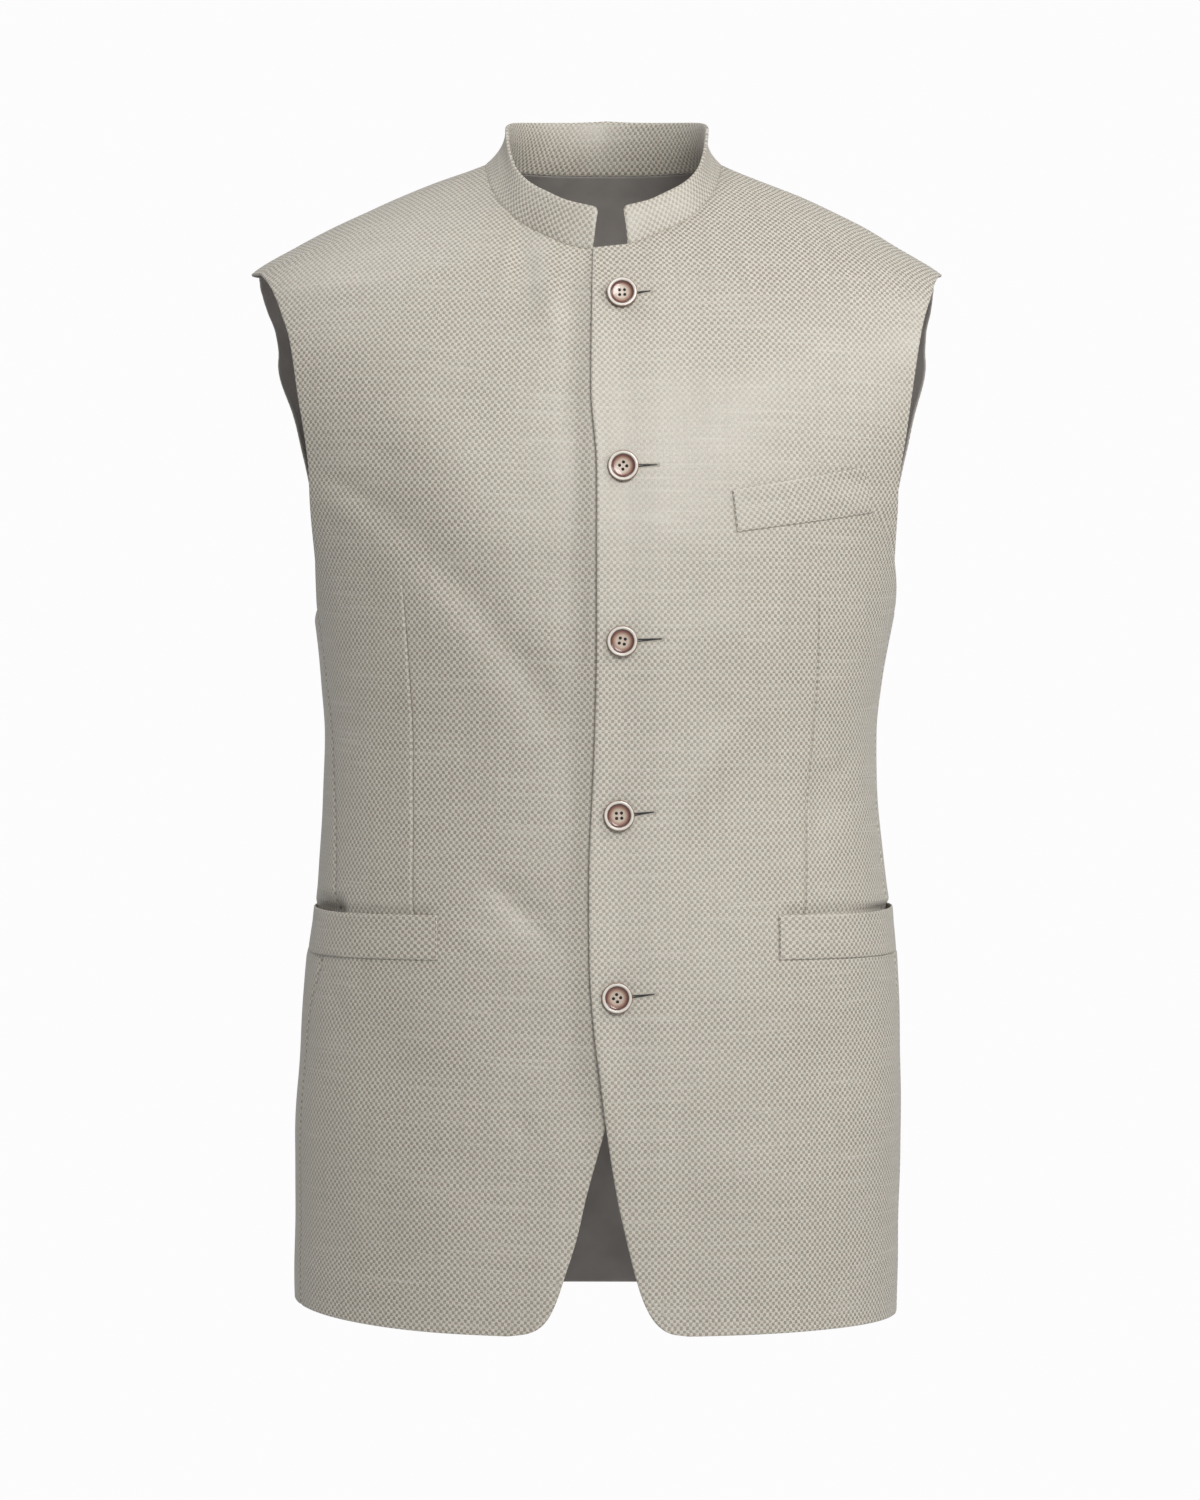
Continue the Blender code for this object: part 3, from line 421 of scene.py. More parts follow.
# Stitches: how long and thick they are, and how unlike each other
STITCH_COLUMNS = ("run", "length", "thickness", "unevenness")
STITCHES = (
    ("hole", 0.00195, 0.00190, 0.03),
    ("purl", 0.00125, 0.00042, 0.12),
    ("slit", 0.00120, 0.00080, 0.08),
    ("bar", 0.00300, 0.00040, 0.06),
    ("pick", 0.00170, 0.00038, 0.12),
)
PICK_COUNT = 10

# Grids
SEAM_ROWS = 22
ARMHOLE_ROWS = 17
EDGE_ROWS = 30
EDGE_CROWDING = 0.62
PANEL_ROWS = SEAM_ROWS + ARMHOLE_ROWS
WELT_ROWS = tuple(np.linspace(11.95, 13.75, 19))
COARSE_COLUMNS = 22
FINE_ROWS_EACH = 5
FRONT_FINE_COLUMNS = (34, 30)
SIDE_FINE_COLUMNS = 34
BACK_SHOULDER_COLUMNS = 8
BACK_NECK_COLUMNS = 12
BACK_COLUMNS = 2 * BACK_SHOULDER_COLUMNS + BACK_NECK_COLUMNS
NECK_CORNER_CLEAR = 0.05
COLLAR_FINE_COLUMNS = 240
COLLAR_FINE_ROWS = 16
WELT_FINE_COLUMNS = 60
WELT_FINE_ROWS = 12
FLATTEN_ROUNDS = 150
FLATTEN_START = 0.17
FLATTEN_WEIGHTS = (0.02, 20.0)

# Rough sizes that the places in the grids are spaced by, and each flat panel's grain
PANEL_LENGTH = 0.75
SIDE_LENGTH = 0.446
SIDE_WIDTH = 0.11
BACK_WIDTH = 0.42
COLLAR_LENGTH = 0.42
COLLAR_HEIGHT = 0.03
COLLAR_END_STEPS = (0.0001, 0.0003, 0.0008, 0.0015, 0.0023, 0.0031)
WELT_LENGTH = 0.10
WELT_WIDTH = 0.027
FRONT_GRAIN = (0, 9, 24)
SIDE_GRAIN = (3, 2, 18)
BACK_GRAIN = (BACK_COLUMNS // 2, 3, 30)
CHEST_HEIGHT = -0.3

# Weave: taupe squares on a cream ground, in a staggered lattice
WEAVE_CELL = (0.00385, 0.00425)
YARN_WIDTH = 0.00064
YARN_DRIFT = (0.0014, 0.0014, 0.0)
GROUND_COLOUR = (0.571, 0.538, 0.477)
GROUND_SHADE = (0.500, 0.464, 0.404)
SPOT_COLOUR = (0.215, 0.178, 0.122)
SPOT_SHADE = (0.285, 0.245, 0.178)
SLUB_COLOUR = (0.60, 0.565, 0.50)
YARN_TINTS = ((0.34, (1.010, 0.994, 0.994)), (0.50, (1.0, 1.0, 1.0)), (0.66, (0.994, 1.003, 0.984)))
# The inner face: a greyed taupe, darkened partly as painted shade for the inside of the jacket.
INSIDE_COLOUR_AND_SHADE = (0.300, 0.275, 0.255)
INSIDE_LINE = (0.36, 0.33, 0.31)
TWILL_STEP = 0.0007

SIGN = {"right": -1.0, "left": 1.0}


def smooth_curve(rows, columns, key, value):
    """A curve through two named columns of a table, smooth and without overshoot between the rows."""
    at, to = columns.index(key), columns.index(value)
    pairs = sorted((row[at], row[to]) for row in rows)
    xs = np.array([pair[0] for pair in pairs])
    ys = np.array([pair[1] for pair in pairs])
    steps = np.diff(xs)
    slopes = np.diff(ys) / steps
    tangents = np.zeros(len(xs))
    tangents[0], tangents[-1] = slopes[0], slopes[-1]
    for i in range(1, len(xs) - 1):
        if slopes[i - 1] * slopes[i] > 0:
            before, after = steps[i - 1], steps[i]
            weight = 2 * after + before, after + 2 * before
            tangents[i] = sum(weight) / (weight[0] / slopes[i - 1] + weight[1] / slopes[i])

    def value_at(x):
        x = np.clip(x, xs[0], xs[-1])
        i = np.clip(np.searchsorted(xs, x) - 1, 0, len(steps) - 1)
        t = (x - xs[i]) / steps[i]
        start = (1 + 2 * t) * (1 - t) ** 2 * ys[i] + t * (1 - t) ** 2 * steps[i] * tangents[i]
        end = t * t * (3 - 2 * t) * ys[i + 1] + t * t * (t - 1) * steps[i] * tangents[i + 1]
        return start + end

    return value_at


def body_curve(value):
    return smooth_curve(BODY_RINGS, BODY_COLUMNS, "height", value)


right_half = body_curve("right")
left_half = body_curve("left")
front_depth = body_curve("front")
back_depth = body_curve("back")
neck_height = smooth_curve(NECKLINE, NECK_COLUMNS, "angle", "height")
collar_height = smooth_curve(COLLAR_TOP, COLLAR_COLUMNS, "angle", "height")
collar_belly = smooth_curve(COLLAR_TOP, COLLAR_COLUMNS, "angle", "belly")
armhole_edge = {side: smooth_curve(ARMHOLE, ARMHOLE_COLUMNS, "height", side) for side in SIGN}
armhole_back_turn = smooth_curve(ARMHOLE, ARMHOLE_COLUMNS, "height", "back_turn")
front_edge = {side: smooth_curve(FRONT_EDGES, EDGE_COLUMNS, "height", side) for side in SIGN}
front_seam = {side: smooth_curve(FRONT_SEAMS, SEAM_COLUMNS, "height", side) for side in SIGN}
dart_x = {side: smooth_curve(DARTS, DART_COLUMNS, "height", side) for side in SIGN}


def ease(value, start, end):
    """0 before start, 1 after end, and a smooth step between them."""
    t = np.clip((value - start) / (end - start), 0.0, 1.0)
    return t * t * (3 - 2 * t)


def ease_between(value, start, full, closing, shut):
    """0 before start, 1 from full to closing, and 0 again after shut."""
    return ease(value, start, full) * (1 - ease(value, closing, shut))


def bell(distance, width):
    """1 where the distance is 0, fading out over the width."""
    return np.exp(-((distance / width) ** 2))


def short_turn(turn):
    """The same turn, from -pi to pi."""
    return np.where(turn > math.pi, turn - 2 * math.pi, turn)


def path_run(points):
    """How far along a line each of its points is."""
    return np.concatenate([[0], np.cumsum(np.linalg.norm(np.diff(points, axis=0), axis=1))])


def ring_reach(turn, height):
    power = ROUND_POWER + (FULL_POWER - ROUND_POWER) * ease(-height, -FULL_FROM, -FULL_AT)
    return (np.abs(np.sin(turn)) ** power + np.abs(np.cos(turn)) ** power) ** (-1 / power)


def ring_point(turn, height):
    """The point of the bare ring surface at a turn and a height, for numbers or arrays."""
    reach = ring_reach(turn, height)
    across, along = np.sin(turn), np.cos(turn)
    half = np.where(across >= 0, left_half(height), right_half(height))
    depth = np.where(along >= 0, front_depth(height), back_depth(height))
    return np.stack([half * across * reach, -depth * along * reach, height + 0.0 * turn], axis=-1)


def turn_at(x, height, facing="front"):
    """The turn at which the ring of a height has the given x, for numbers or arrays."""
    x, height = np.asarray(x, float), np.asarray(height, float)
    half = np.where(x >= 0, left_half(height), right_half(height))
    near = np.zeros_like(x + height) if facing == "front" else np.full_like(x + height, math.pi)
    far = np.full_like(near, math.pi / 2)
    for _ in range(48):
        middle = (near + far) / 2
        inside = half * np.sin(middle) * ring_reach(middle, height) < np.abs(x)
        near, far = np.where(inside, middle, near), np.where(inside, far, middle)
    return np.where(x >= 0, 1.0, -1.0) * (near + far) / 2


def ring_normal(turn, height):
    """The direction out of the cloth."""
    step_turn, step_height = 0.002, 0.0005
    along = ring_point(turn + step_turn, height) - ring_point(turn - step_turn, height)
    upward = ring_point(turn, height + step_height) - ring_point(turn, height - step_height)
    normal = np.cross(along, upward)
    return normal / np.linalg.norm(normal, axis=-1, keepdims=True)


def fold_rise(turn, height, table=FOLDS):
    """How far the folds lift the cloth, or let it sink, at each point."""
    points = ring_point(turn, height)
    x, z = points[..., 0], points[..., 2]
    faces_front = np.cos(turn) > 0
    total = np.zeros_like(x)
    for row in table:
        fold = dict(zip(FOLD_COLUMNS, row))
        run = np.array([fold["to_x"] - fold["from_x"], fold["to_z"] - fold["from_z"]])
        length = np.linalg.norm(run)
        run = run / length
        along = ((x - fold["from_x"]) * run[0] + (z - fold["from_z"]) * run[1]) / length
        aside = (x - fold["from_x"]) * run[1] - (z - fold["from_z"]) * run[0]
        beyond = np.abs(along - np.clip(along, 0, 1)) * length
        swell = np.sin(np.clip(along, *FOLD_SWELL) * math.pi)
        shape = bell(aside, fold["width"]) * bell(beyond, FOLD_END * fold["width"])
        on_side = faces_front == (fold["facing"] == "front")
        total = total + np.where(on_side, fold["rise"] * swell * shape, 0.0)
    clear_of_lap = ease(np.abs(x - LAP_MIDDLE), LAP_FLAT, LAP_FOLDED)
    return total * np.where(faces_front, clear_of_lap, 1.0)


def uneven_rise(turn, height):
    """The slight unevenness of cloth that hangs."""
    points = ring_point(turn, height)
    x, z = points[..., 0], points[..., 2]
    around = x - points[..., 1] * np.sign(np.sin(turn)) * UNEVEN_DEPTH
    total = np.zeros_like(z)
    for row in UNEVEN:
        wave = dict(zip(UNEVEN_COLUMNS, row))
        total = total + wave["rise"] * np.sin(wave["along_x"] * around + wave["along_z"] * z + wave["shift"])
    clear_of_lap = ease(np.abs(x - LAP_MIDDLE), LAP_FLAT, LAP_FOLDED)
    return total * np.where(np.cos(turn) > 0, clear_of_lap, 1.0) * ease(-height, -UNEVEN_FROM, -UNEVEN_AT)


def hem_lift(turn, height):
    """The hem rides up a little round the right side."""
    around = ease_between(-short_turn(turn), *HEM_LIFT_TURNS)
    return HEM_LIFT * around * (1 - ease(height, HEM_HEIGHT, HEM_HEIGHT + HEM_LIFT_REACH))


def mouth_rise(turn, height):
    """The cloth sinks in above each hip welt's outer end, where the pocket's mouth opens."""
    total = np.zeros_like(height + turn)
    for side, sign in SIGN.items():
        swing = np.degrees(sign * short_turn(turn))
        lip = HIP_WELT_TOP + MOUTH_LIP
        above = ease_between(height, HIP_WELT_BOTTOM, HIP_WELT_TOP, lip, lip + MOUTH_REACH[side])
        mouth = MOUTH_DEPTH[side] * ease_between(swing, *MOUTH_TURNS[side]) * above
        outer = abs(HIP_WELT_OUTER_TURN[side])
        inner = np.degrees(abs(turn_at(HIP_WELT_INNER[side], HIP_WELT_TOP)))
        turns = np.array([inner, inner, outer, outer]) + SEAT_TURN_STEPS
        covered = ease_between(swing, *turns)
        fade = [HIP_WELT_TOP + step for step in SEAT_FADE]
        seat = ease_between(height, HIP_WELT_BOTTOM, HIP_WELT_BOTTOM + SEAT_RISE, *fade)
        total = total - mouth - HIP_WELT_SEAT * covered * seat
    return total


def seam_sink(turn, height):
    """The cloth sinks a little into the side seams."""
    total = np.zeros_like(height + turn)
    below_arm = 1 - ease(height, *SEAM_SINK_HEIGHTS)
    for side, sign in SIGN.items():
        for seam_turn in (front_seam[side](height), REAR_SEAM_TURN):
            aside = (sign * short_turn(turn) - np.radians(seam_turn)) * left_half(height)
            total = total - SEAM_SINK * bell(aside, SEAM_REACH) * below_arm
    return total


def soft_rise(turn, height):
    """Folds, creases and unevenness."""
    return fold_rise(turn, height) + fold_rise(turn, height, CREASES) + uneven_rise(turn, height)


def cloth_rise(turn, height):
    """All that moves the body's cloth, the pockets' mouths and the side seams too."""
    return soft_rise(turn, height) + mouth_rise(turn, height) + seam_sink(turn, height)


def overlap_rise(side, turn, height):
    """Where the left front lies over the right one, the left one is lifted and the right one sinks."""
    x = ring_point(turn, height)[..., 0]
    if side == "left":
        return OVERLAP_LIFT * (1 - ease(x, OVERLAP_FULL, OVERLAP_NONE))
    ridge = EDGE_RIDGE * bell(x - front_edge["left"](height), EDGE_RIDGE_REACH)
    ridge = ridge * ease_between(height, *EDGE_RIDGE_HEIGHTS)
    return ridge - OVERLAP_SINK * ease(x, *OVERLAP_SINK_XS)


def edge_curl(turn, height):
    """The left front's free edge lifts a little off the right front."""
    x = ring_point(turn, height)[..., 0]
    from_edge = np.maximum(x - front_edge["left"](height), 0.0)
    return EDGE_CURL * bell(from_edge, EDGE_CURL_REACH) * ease_between(height, *EDGE_CURL_HEIGHTS)


def cloth_point(turn, height, rise):
    return ring_point(turn, height) + ring_normal(turn, height) * np.asarray(rise)[..., None]


def along_path(path, fractions, crowding=0.0):
    """Points along a path of turns and heights, at fractions of its length."""
    path = np.asarray(path)
    run = path_run(ring_point(path[:, 0], path[:, 1]))
    t = np.asarray(fractions)
    wanted = run[-1] * (t - crowding * np.sin(2 * math.pi * t) / (2 * math.pi))
    return np.stack([np.interp(wanted, run, path[:, 0]), np.interp(wanted, run, path[:, 1])], axis=1)


def along_stretches(stretches, places):
    """Points along paths laid end to end: each stretch is its count of rows, its path and its crowding."""
    places = np.asarray(places, float)
    found = np.zeros((len(places), 2))
    first = 0
    for count, path, crowding in stretches:
        here = (places >= first) & (places <= first + count)
        found[here] = along_path(path, (places[here] - first) / count, crowding)
        first += count
    return found


def crowded(count, length, corners=()):
    """Even places from 0 to count, with more of them close to both ends, and one at each corner."""
    steps = np.array(CROWDED_STEPS) / length * count
    inner = np.linspace(0, count, int(count * FINE_ROWS_EACH) + 1)
    inner = inner[(inner > 1.6 * steps[-1]) & (inner < count - 1.6 * steps[-1])]
    places = np.concatenate([[0, count], steps, count - steps, inner, corners])
    return np.unique(np.round(places, 6))


def edged(steps, clear, count):
    """Fractions from 0 to 1: small steps at both ends, and an even count of them in between."""
    middle = np.linspace(clear * steps[-1], 1 - clear * steps[-1], count)
    return np.concatenate([[0], steps, middle, 1 - steps[::-1], [1]])


def gap_turn(turn, height, gap):
    """A turn moved round the ring by a distance."""
    step = 0.001
    here = ring_point(np.array(turn), np.array(height))
    there = ring_point(np.array(turn + step), np.array(height))
    return turn + gap * step / np.linalg.norm(there - here)


def seam_path(side, top, turn_of, gap):
    """A side seam from the hem up, moved round by the gap."""
    heights = np.linspace(HEM_HEIGHT, top, 60)
    return [(gap_turn(SIGN[side] * math.radians(turn_of(h)), h, gap), h) for h in heights]


def rear_seam(height):
    """The rear seams run straight down."""
    return REAR_SEAM_TURN


def armhole_path(side, piece, start):
    """The armhole's edge of a front or of the back, from the top of its seam up to the shoulder seam."""
    sign = SIGN[side]
    heights = np.linspace(ARMHOLE[-1][0], ARMHOLE[0][0], 60)
    if piece == "front":
        middle = [(float(turn_at(sign * armhole_edge[side](h), h)), h) for h in heights]
    else:
        middle = [(sign * math.radians(armhole_back_turn(h)), h) for h in heights]
    end = (sign * math.radians(SHOULDER_SEAM_TURN), SHOULDER_TIP_HEIGHT)
    return [start] + middle + [end]


def neck_half(side):
    """The neckline's distance from the middle of the body where it crosses a shoulder's ridge."""
    return float(left_half(neck_height(90)) if side == "left" else right_half(neck_height(90)))


def neck_angle(x):
    """The angle round the front of the neck at which the neckline has the given x."""
    return math.degrees(math.asin(x / neck_half("left" if x > 0 else "right")))


def neck_path(angles):
    """The neckline at some angles round the neck, as turns and heights on the rings."""
    path = []
    for angle in angles:
        height = float(neck_height(abs(angle)))
        x = neck_half("left" if angle > 0 else "right") * math.sin(math.radians(angle))
        path.append((float(turn_at(x, height, "front" if abs(angle) <= 90 else "back")), height))
    return np.array(path)


def neck_crossing(side):
    """Where the shoulder seam meets the neckline."""
    path = neck_path(SIGN[side] * np.linspace(90, 120, 61))
    seam_turn = math.radians(SHOULDER_SEAM_TURN)
    height = float(np.interp(seam_turn, np.abs(path[:, 0]), path[:, 1]))
    return SIGN[side] * seam_turn, height


def front_borders(side):
    """The two long borders of a front: free edge and neckline, side seam and armhole."""
    sign = SIGN[side]
    neck_point = neck_crossing(side)
    neck = neck_path(np.linspace(neck_angle(COLLAR_END_FOOT[side]), sign * 100, 120))
    neck = neck[np.abs(neck[:, 0]) < abs(neck_point[0])]
    top_height = neck[0][1] - TOP_EDGE_DROP[side]
    corner = (float(turn_at(float(front_edge[side](FRONT_EDGES[0][0])), top_height)), top_height)
    heights = HEM_HEIGHT + (top_height - EDGE_CORNER - HEM_HEIGHT) * np.linspace(0, 1, 240) ** 2
    edge = [(float(turn_at(front_edge[side](h), h)), h) for h in heights] + [corner]
    upper = np.concatenate([[corner], neck, [neck_point]])
    inner = ((EDGE_ROWS, edge, EDGE_CROWDING), (PANEL_ROWS - EDGE_ROWS, upper, 0.0))
    seam = seam_path(side, SIDE_SEAM_TOP, front_seam[side], sign * SEAM_OVERLAP / 2)
    outer = ((SEAM_ROWS, seam, 0.0), (ARMHOLE_ROWS, armhole_path(side, "front", seam[-1]), 0.0))
    return inner, outer


def between(inner, outer, across):
    """A grid ruled from one border to the other."""
    return inner[:, None, :] + (outer - inner)[:, None, :] * across[..., None]


def dart_place(side, inner, outer):
    """The fraction across each row at which the dart's line lies, and the row's width."""
    fractions = np.linspace(0, 1, DART_TRIES)
    grid = between(inner, outer, np.broadcast_to(fractions, (len(inner), DART_TRIES)))
    points = ring_point(grid[..., 0], grid[..., 1])
    off = np.abs(points[..., 0] - dart_x[side](grid[..., 1]))
    off = np.where(fractions[None, :] < DART_BEYOND, off, np.inf)
    width = np.linalg.norm(np.diff(points, axis=1), axis=2).sum(axis=1)
    place = fractions[off.argmin(axis=1)]
    window = np.hanning(2 * DART_BLUR + 1)
    padded = np.pad(place, DART_BLUR, mode="edge")
    return np.clip(np.convolve(padded, window / window.sum(), mode="valid"), *DART_RANGE), width


def front_grid(side, rows, across=None):
    """A front's turns and heights, the distance of each point from the dart, and the fractions across."""
    inner_border, outer_border = front_borders(side)
    inner = along_stretches(inner_border, rows)
    outer = along_stretches(outer_border, rows)
    place, width = dart_place(side, inner, outer)
    if across is None:
        fine = []
        near, far = FRONT_FINE_COLUMNS
        offsets = np.array(DART_OFFSETS)
        steps = np.array(CROWDED_STEPS)
        for at, wide in zip(place, width):
            before = np.linspace(1.7 * steps[-1] / wide, at - 1.8 * offsets[-1] / wide, near)
            after = np.linspace(at + 1.8 * offsets[-1] / wide, 1 - 1.7 * steps[-1] / wide, far)
            dart = np.concatenate([at - offsets[::-1] / wide, [at], at + offsets / wide])
            fine.append(np.concatenate([[0], steps / wide, before, dart, after, 1 - steps[::-1] / wide, [1]]))
        across = np.array(fine)
    grid = between(inner, outer, across)
    return grid, (across - place[:, None]) * width[:, None], across


def dart_rise(aside, height):
    """The stitched line of a dart: a narrow trough, and the folded side a little above the other."""
    shown = 1 - ease(height, DARTS[0][0] - DART_FADE, DARTS[0][0])
    shown = shown * ease(height, DARTS[-1][0] - DART_END, DARTS[-1][0] + DART_END)
    step = DART_STEP * np.exp(-np.maximum(aside, 0) / DART_STEP_REACH) * (aside > 0)
    return (step - DART_DEPTH * bell(aside, DART_WIDTH)) * shown


def interpolate(table, rows, across):
    """Values of a coarse table at fractional rows and at fractions across it."""
    rows, across = np.broadcast_arrays(rows, across)
    last_row, last_column = table.shape[0] - 1, table.shape[1] - 1
    rows = np.clip(rows, 0, last_row)
    columns = np.clip(across, 0, 1) * last_column
    r = np.minimum(rows.astype(int), last_row - 1)
    c = np.minimum(columns.astype(int), last_column - 1)
    down, over = (rows - r)[..., None], (columns - c)[..., None]
    low = table[r, c] * (1 - over) + table[r, c + 1] * over
    high = table[r + 1, c] * (1 - over) + table[r + 1, c + 1] * over
    return low * (1 - down) + high * down


def flatten(grid, grain):
    """Lays a panel's coarse grid flat, with each of its triangles stretched as little as can be.

    The grain is the stretch of one column that ends up upright, from its first row to its last row.
    """
    column, first, last = grain
    points = ring_point(grid[..., 0], grid[..., 1])
    index = np.arange(grid.shape[0] * grid.shape[1]).reshape(grid.shape[:2])
    low_near, low_far, high_near, high_far = index[:-1, :-1], index[:-1, 1:], index[1:, :-1], index[1:, 1:]
    triangles = np.concatenate([
        np.stack([low_near, low_far, high_far], axis=-1).reshape(-1, 3),
        np.stack([low_near, high_far, high_near], axis=-1).reshape(-1, 3),
    ])
    corner = points.reshape(-1, 3)[triangles]
    base, other = corner[:, 1] - corner[:, 0], corner[:, 2] - corner[:, 0]
    length = np.linalg.norm(base, axis=1)
    run = (other * base).sum(axis=1) / length
    climb = np.sqrt(np.maximum((other ** 2).sum(axis=1) - run ** 2, 1e-12))
    own = np.zeros((len(triangles), 3, 2))
    own[:, 1, 0], own[:, 2, 0], own[:, 2, 1] = length, run, climb
    borders = []
    system = np.zeros((index.size, index.size))
    for k in range(3):
        i, j = (k + 1) % 3, (k + 2) % 3
        opposite = ((own[:, i] - own[:, k]) * (own[:, j] - own[:, k])).sum(axis=1)
        weight = np.clip(opposite / (length * climb), *FLATTEN_WEIGHTS)
        borders.append((triangles[:, i], triangles[:, j], own[:, i] - own[:, j], weight))
        for one, two in ((triangles[:, i], triangles[:, j]), (triangles[:, j], triangles[:, i])):
            np.add.at(system, (one, one), weight)
            np.add.at(system, (one, two), -weight)
    system[0, 0] += 1.0
    solver = np.linalg.inv(system)
    flat = np.stack([np.abs(grid[..., 0]) * FLATTEN_START, grid[..., 1]], axis=-1).reshape(-1, 2)
    for _ in range(FLATTEN_ROUNDS):
        swing = np.zeros((len(triangles), 2))
        for one, two, side, weight in borders:
            now = flat[one] - flat[two]
            swing[:, 0] += weight * (now * side).sum(axis=1)
            swing[:, 1] += weight * (now[:, 1] * side[:, 0] - now[:, 0] * side[:, 1])
        swing /= np.linalg.norm(swing, axis=1, keepdims=True)
        pull = np.zeros_like(flat)
        for one, two, side, weight in borders:
            x = swing[:, 0] * side[:, 0] - swing[:, 1] * side[:, 1]
            y = swing[:, 1] * side[:, 0] + swing[:, 0] * side[:, 1]
            wanted = np.stack([x, y], axis=1) * weight[:, None]
            np.add.at(pull, one, wanted)
            np.add.at(pull, two, -wanted)
        flat = solver @ pull
    flat = flat.reshape(grid.shape)
    upright = flat[last, column] - flat[first, column]
    swing = math.atan2(upright[0], upright[1])
    turned = np.array([[math.cos(swing), math.sin(swing)], [-math.sin(swing), math.cos(swing)]])
    flat = flat @ turned
    flat -= flat[first, column] - np.array([0.0, points[first, column, 2]])
    return flat


def border_distance(points):
    """How far each point of a grid is from the grid's border."""
    border = np.concatenate([points[0], points[-1], points[1:-1, 0], points[1:-1, -1]])
    distance = np.empty(points.shape[:2])
    for r, row in enumerate(points):
        gaps = row[:, None, :] - border[None, :, :]
        distance[r] = np.sqrt((gaps ** 2).sum(axis=2).min(axis=1))
    return distance


def link_object(name, data):
    made = bpy.data.objects.new(name, data)
    bpy.context.scene.collection.objects.link(made)
    return made


def cloth_wall(name, middle, normal, flat, thickness, finishes, rounding=EDGE_ROUNDING):
    """A closed wall of cloth about a middle surface, with rounded borders. Columns run to the left."""
    rows, columns = middle.shape[:2]
    inward = np.clip(border_distance(middle) / rounding, 0, 1)
    half = normal * (thickness / 2 * np.sqrt(1 - (1 - inward) ** 2))[..., None]
    outside, inside = middle + half, middle - half
    outer = np.arange(rows * columns).reshape(rows, columns)
    inner = outer.copy()
    inner[1:-1, 1:-1] = rows * columns + np.arange((rows - 2) * (columns - 2)).reshape(rows - 2, columns - 2)
    places = np.concatenate([outside.reshape(-1, 3), inside[1:-1, 1:-1].reshape(-1, 3)])
    on_map = np.concatenate([flat.reshape(-1, 2), flat[1:-1, 1:-1].reshape(-1, 2)])
    front = np.stack([outer[:-1, :-1], outer[:-1, 1:], outer[1:, 1:], outer[1:, :-1]], axis=-1).reshape(-1, 4)
    back = np.stack([inner[:-1, :-1], inner[1:, :-1], inner[1:, 1:], inner[:-1, 1:]], axis=-1).reshape(-1, 4)
    mesh = bpy.data.meshes.new(name)
    mesh.from_pydata(places.tolist(), [], np.concatenate([front, back]).tolist())
    layer = mesh.uv_layers.new(name="cloth")
    corners = np.empty(len(mesh.loops), int)
    mesh.loops.foreach_get("vertex_index", corners)
    layer.data.foreach_set("uv", on_map[corners].astype(np.float32).ravel())
    mesh.polygons.foreach_set("material_index", np.repeat([0, 1], [len(front), len(back)]).astype(np.int32))
    mesh.shade_smooth()
    for finish in finishes:
        mesh.materials.append(finish)
    return link_object(name, mesh)


def flat_size(flat):
    """The width, the length and the area of a piece that is laid flat."""
    outline = np.concatenate([flat[0], flat[1:, -1], flat[-1, ::-1][1:], flat[::-1, 0][1:-1]])
    x, y = outline[:, 0], outline[:, 1]
    area = abs(np.sum(x * np.roll(y, -1) - y * np.roll(x, -1))) / 2
    return (float(np.ptp(x)), float(np.ptp(y))), float(area)


def finish_cloth(piece, node, flat):
    size, area = flat_size(flat)
    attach(piece, "root")
    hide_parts(node)


def hung(grid):
    """A panel's turns and heights, with its hem where it hangs."""
    turn, height = grid[..., 0], grid[..., 1]
    return turn, height + hem_lift(turn, height)


def worn_panel(name, turn, height, rise, flat, finishes, mirrored=False):
    """A panel of body cloth in its place, from its grid's turns and heights and how far it is lifted."""
    middle, normal = cloth_point(turn, height, rise), ring_normal(turn, height)
    if mirrored:
        middle, normal, flat = (part[:, ::-1] for part in (middle, normal, flat))
    return cloth_wall(name, middle, normal, flat, BODY_CLOTH, finishes)


def front_panel(side, finishes):
    rows = crowded(PANEL_ROWS, PANEL_LENGTH, (SEAM_ROWS, EDGE_ROWS, *WELT_ROWS))
    even = np.broadcast_to(np.linspace(0, 1, COARSE_COLUMNS + 1), (PANEL_ROWS + 1, COARSE_COLUMNS + 1))
    flat_coarse = flatten(front_grid(side, np.arange(PANEL_ROWS + 1.0), even)[0], FRONT_GRAIN)
    flat_coarse[..., 0] = SIGN[side] * flat_coarse[..., 0] + float(front_edge[side](CHEST_HEIGHT))
    grid, aside, across = front_grid(side, rows)
    turn, height = hung(grid)
    rise = cloth_rise(turn, height) + overlap_rise(side, turn, height) + dart_rise(aside, height)
    if side == "left":
        rise = rise + edge_curl(turn, height)
    flat = interpolate(flat_coarse, rows[:, None], across)
    return worn_panel(f"{side}_front", turn, height, rise, flat, finishes, side == "right"), flat_coarse


def side_grid(side, rows, across):
    """A side panel's turns and heights, from its front seam to its rear seam, with a dip under the arm."""
    gap = SIGN[side] * SEAM_OVERLAP / 2
    fore = along_path(seam_path(side, SIDE_SEAM_TOP, front_seam[side], -gap), rows / SEAM_ROWS)
    rear = along_path(seam_path(side, REAR_SEAM_TOP, rear_seam, gap), rows / SEAM_ROWS)
    grid = between(fore, rear, np.broadcast_to(across, (len(rows), len(across))))
    dip = ARMHOLE_LOWEST - (SIDE_SEAM_TOP + REAR_SEAM_TOP) / 2
    grid[..., 1] += dip * np.sin(across * math.pi)[None, :] * (rows / SEAM_ROWS)[:, None]
    return grid


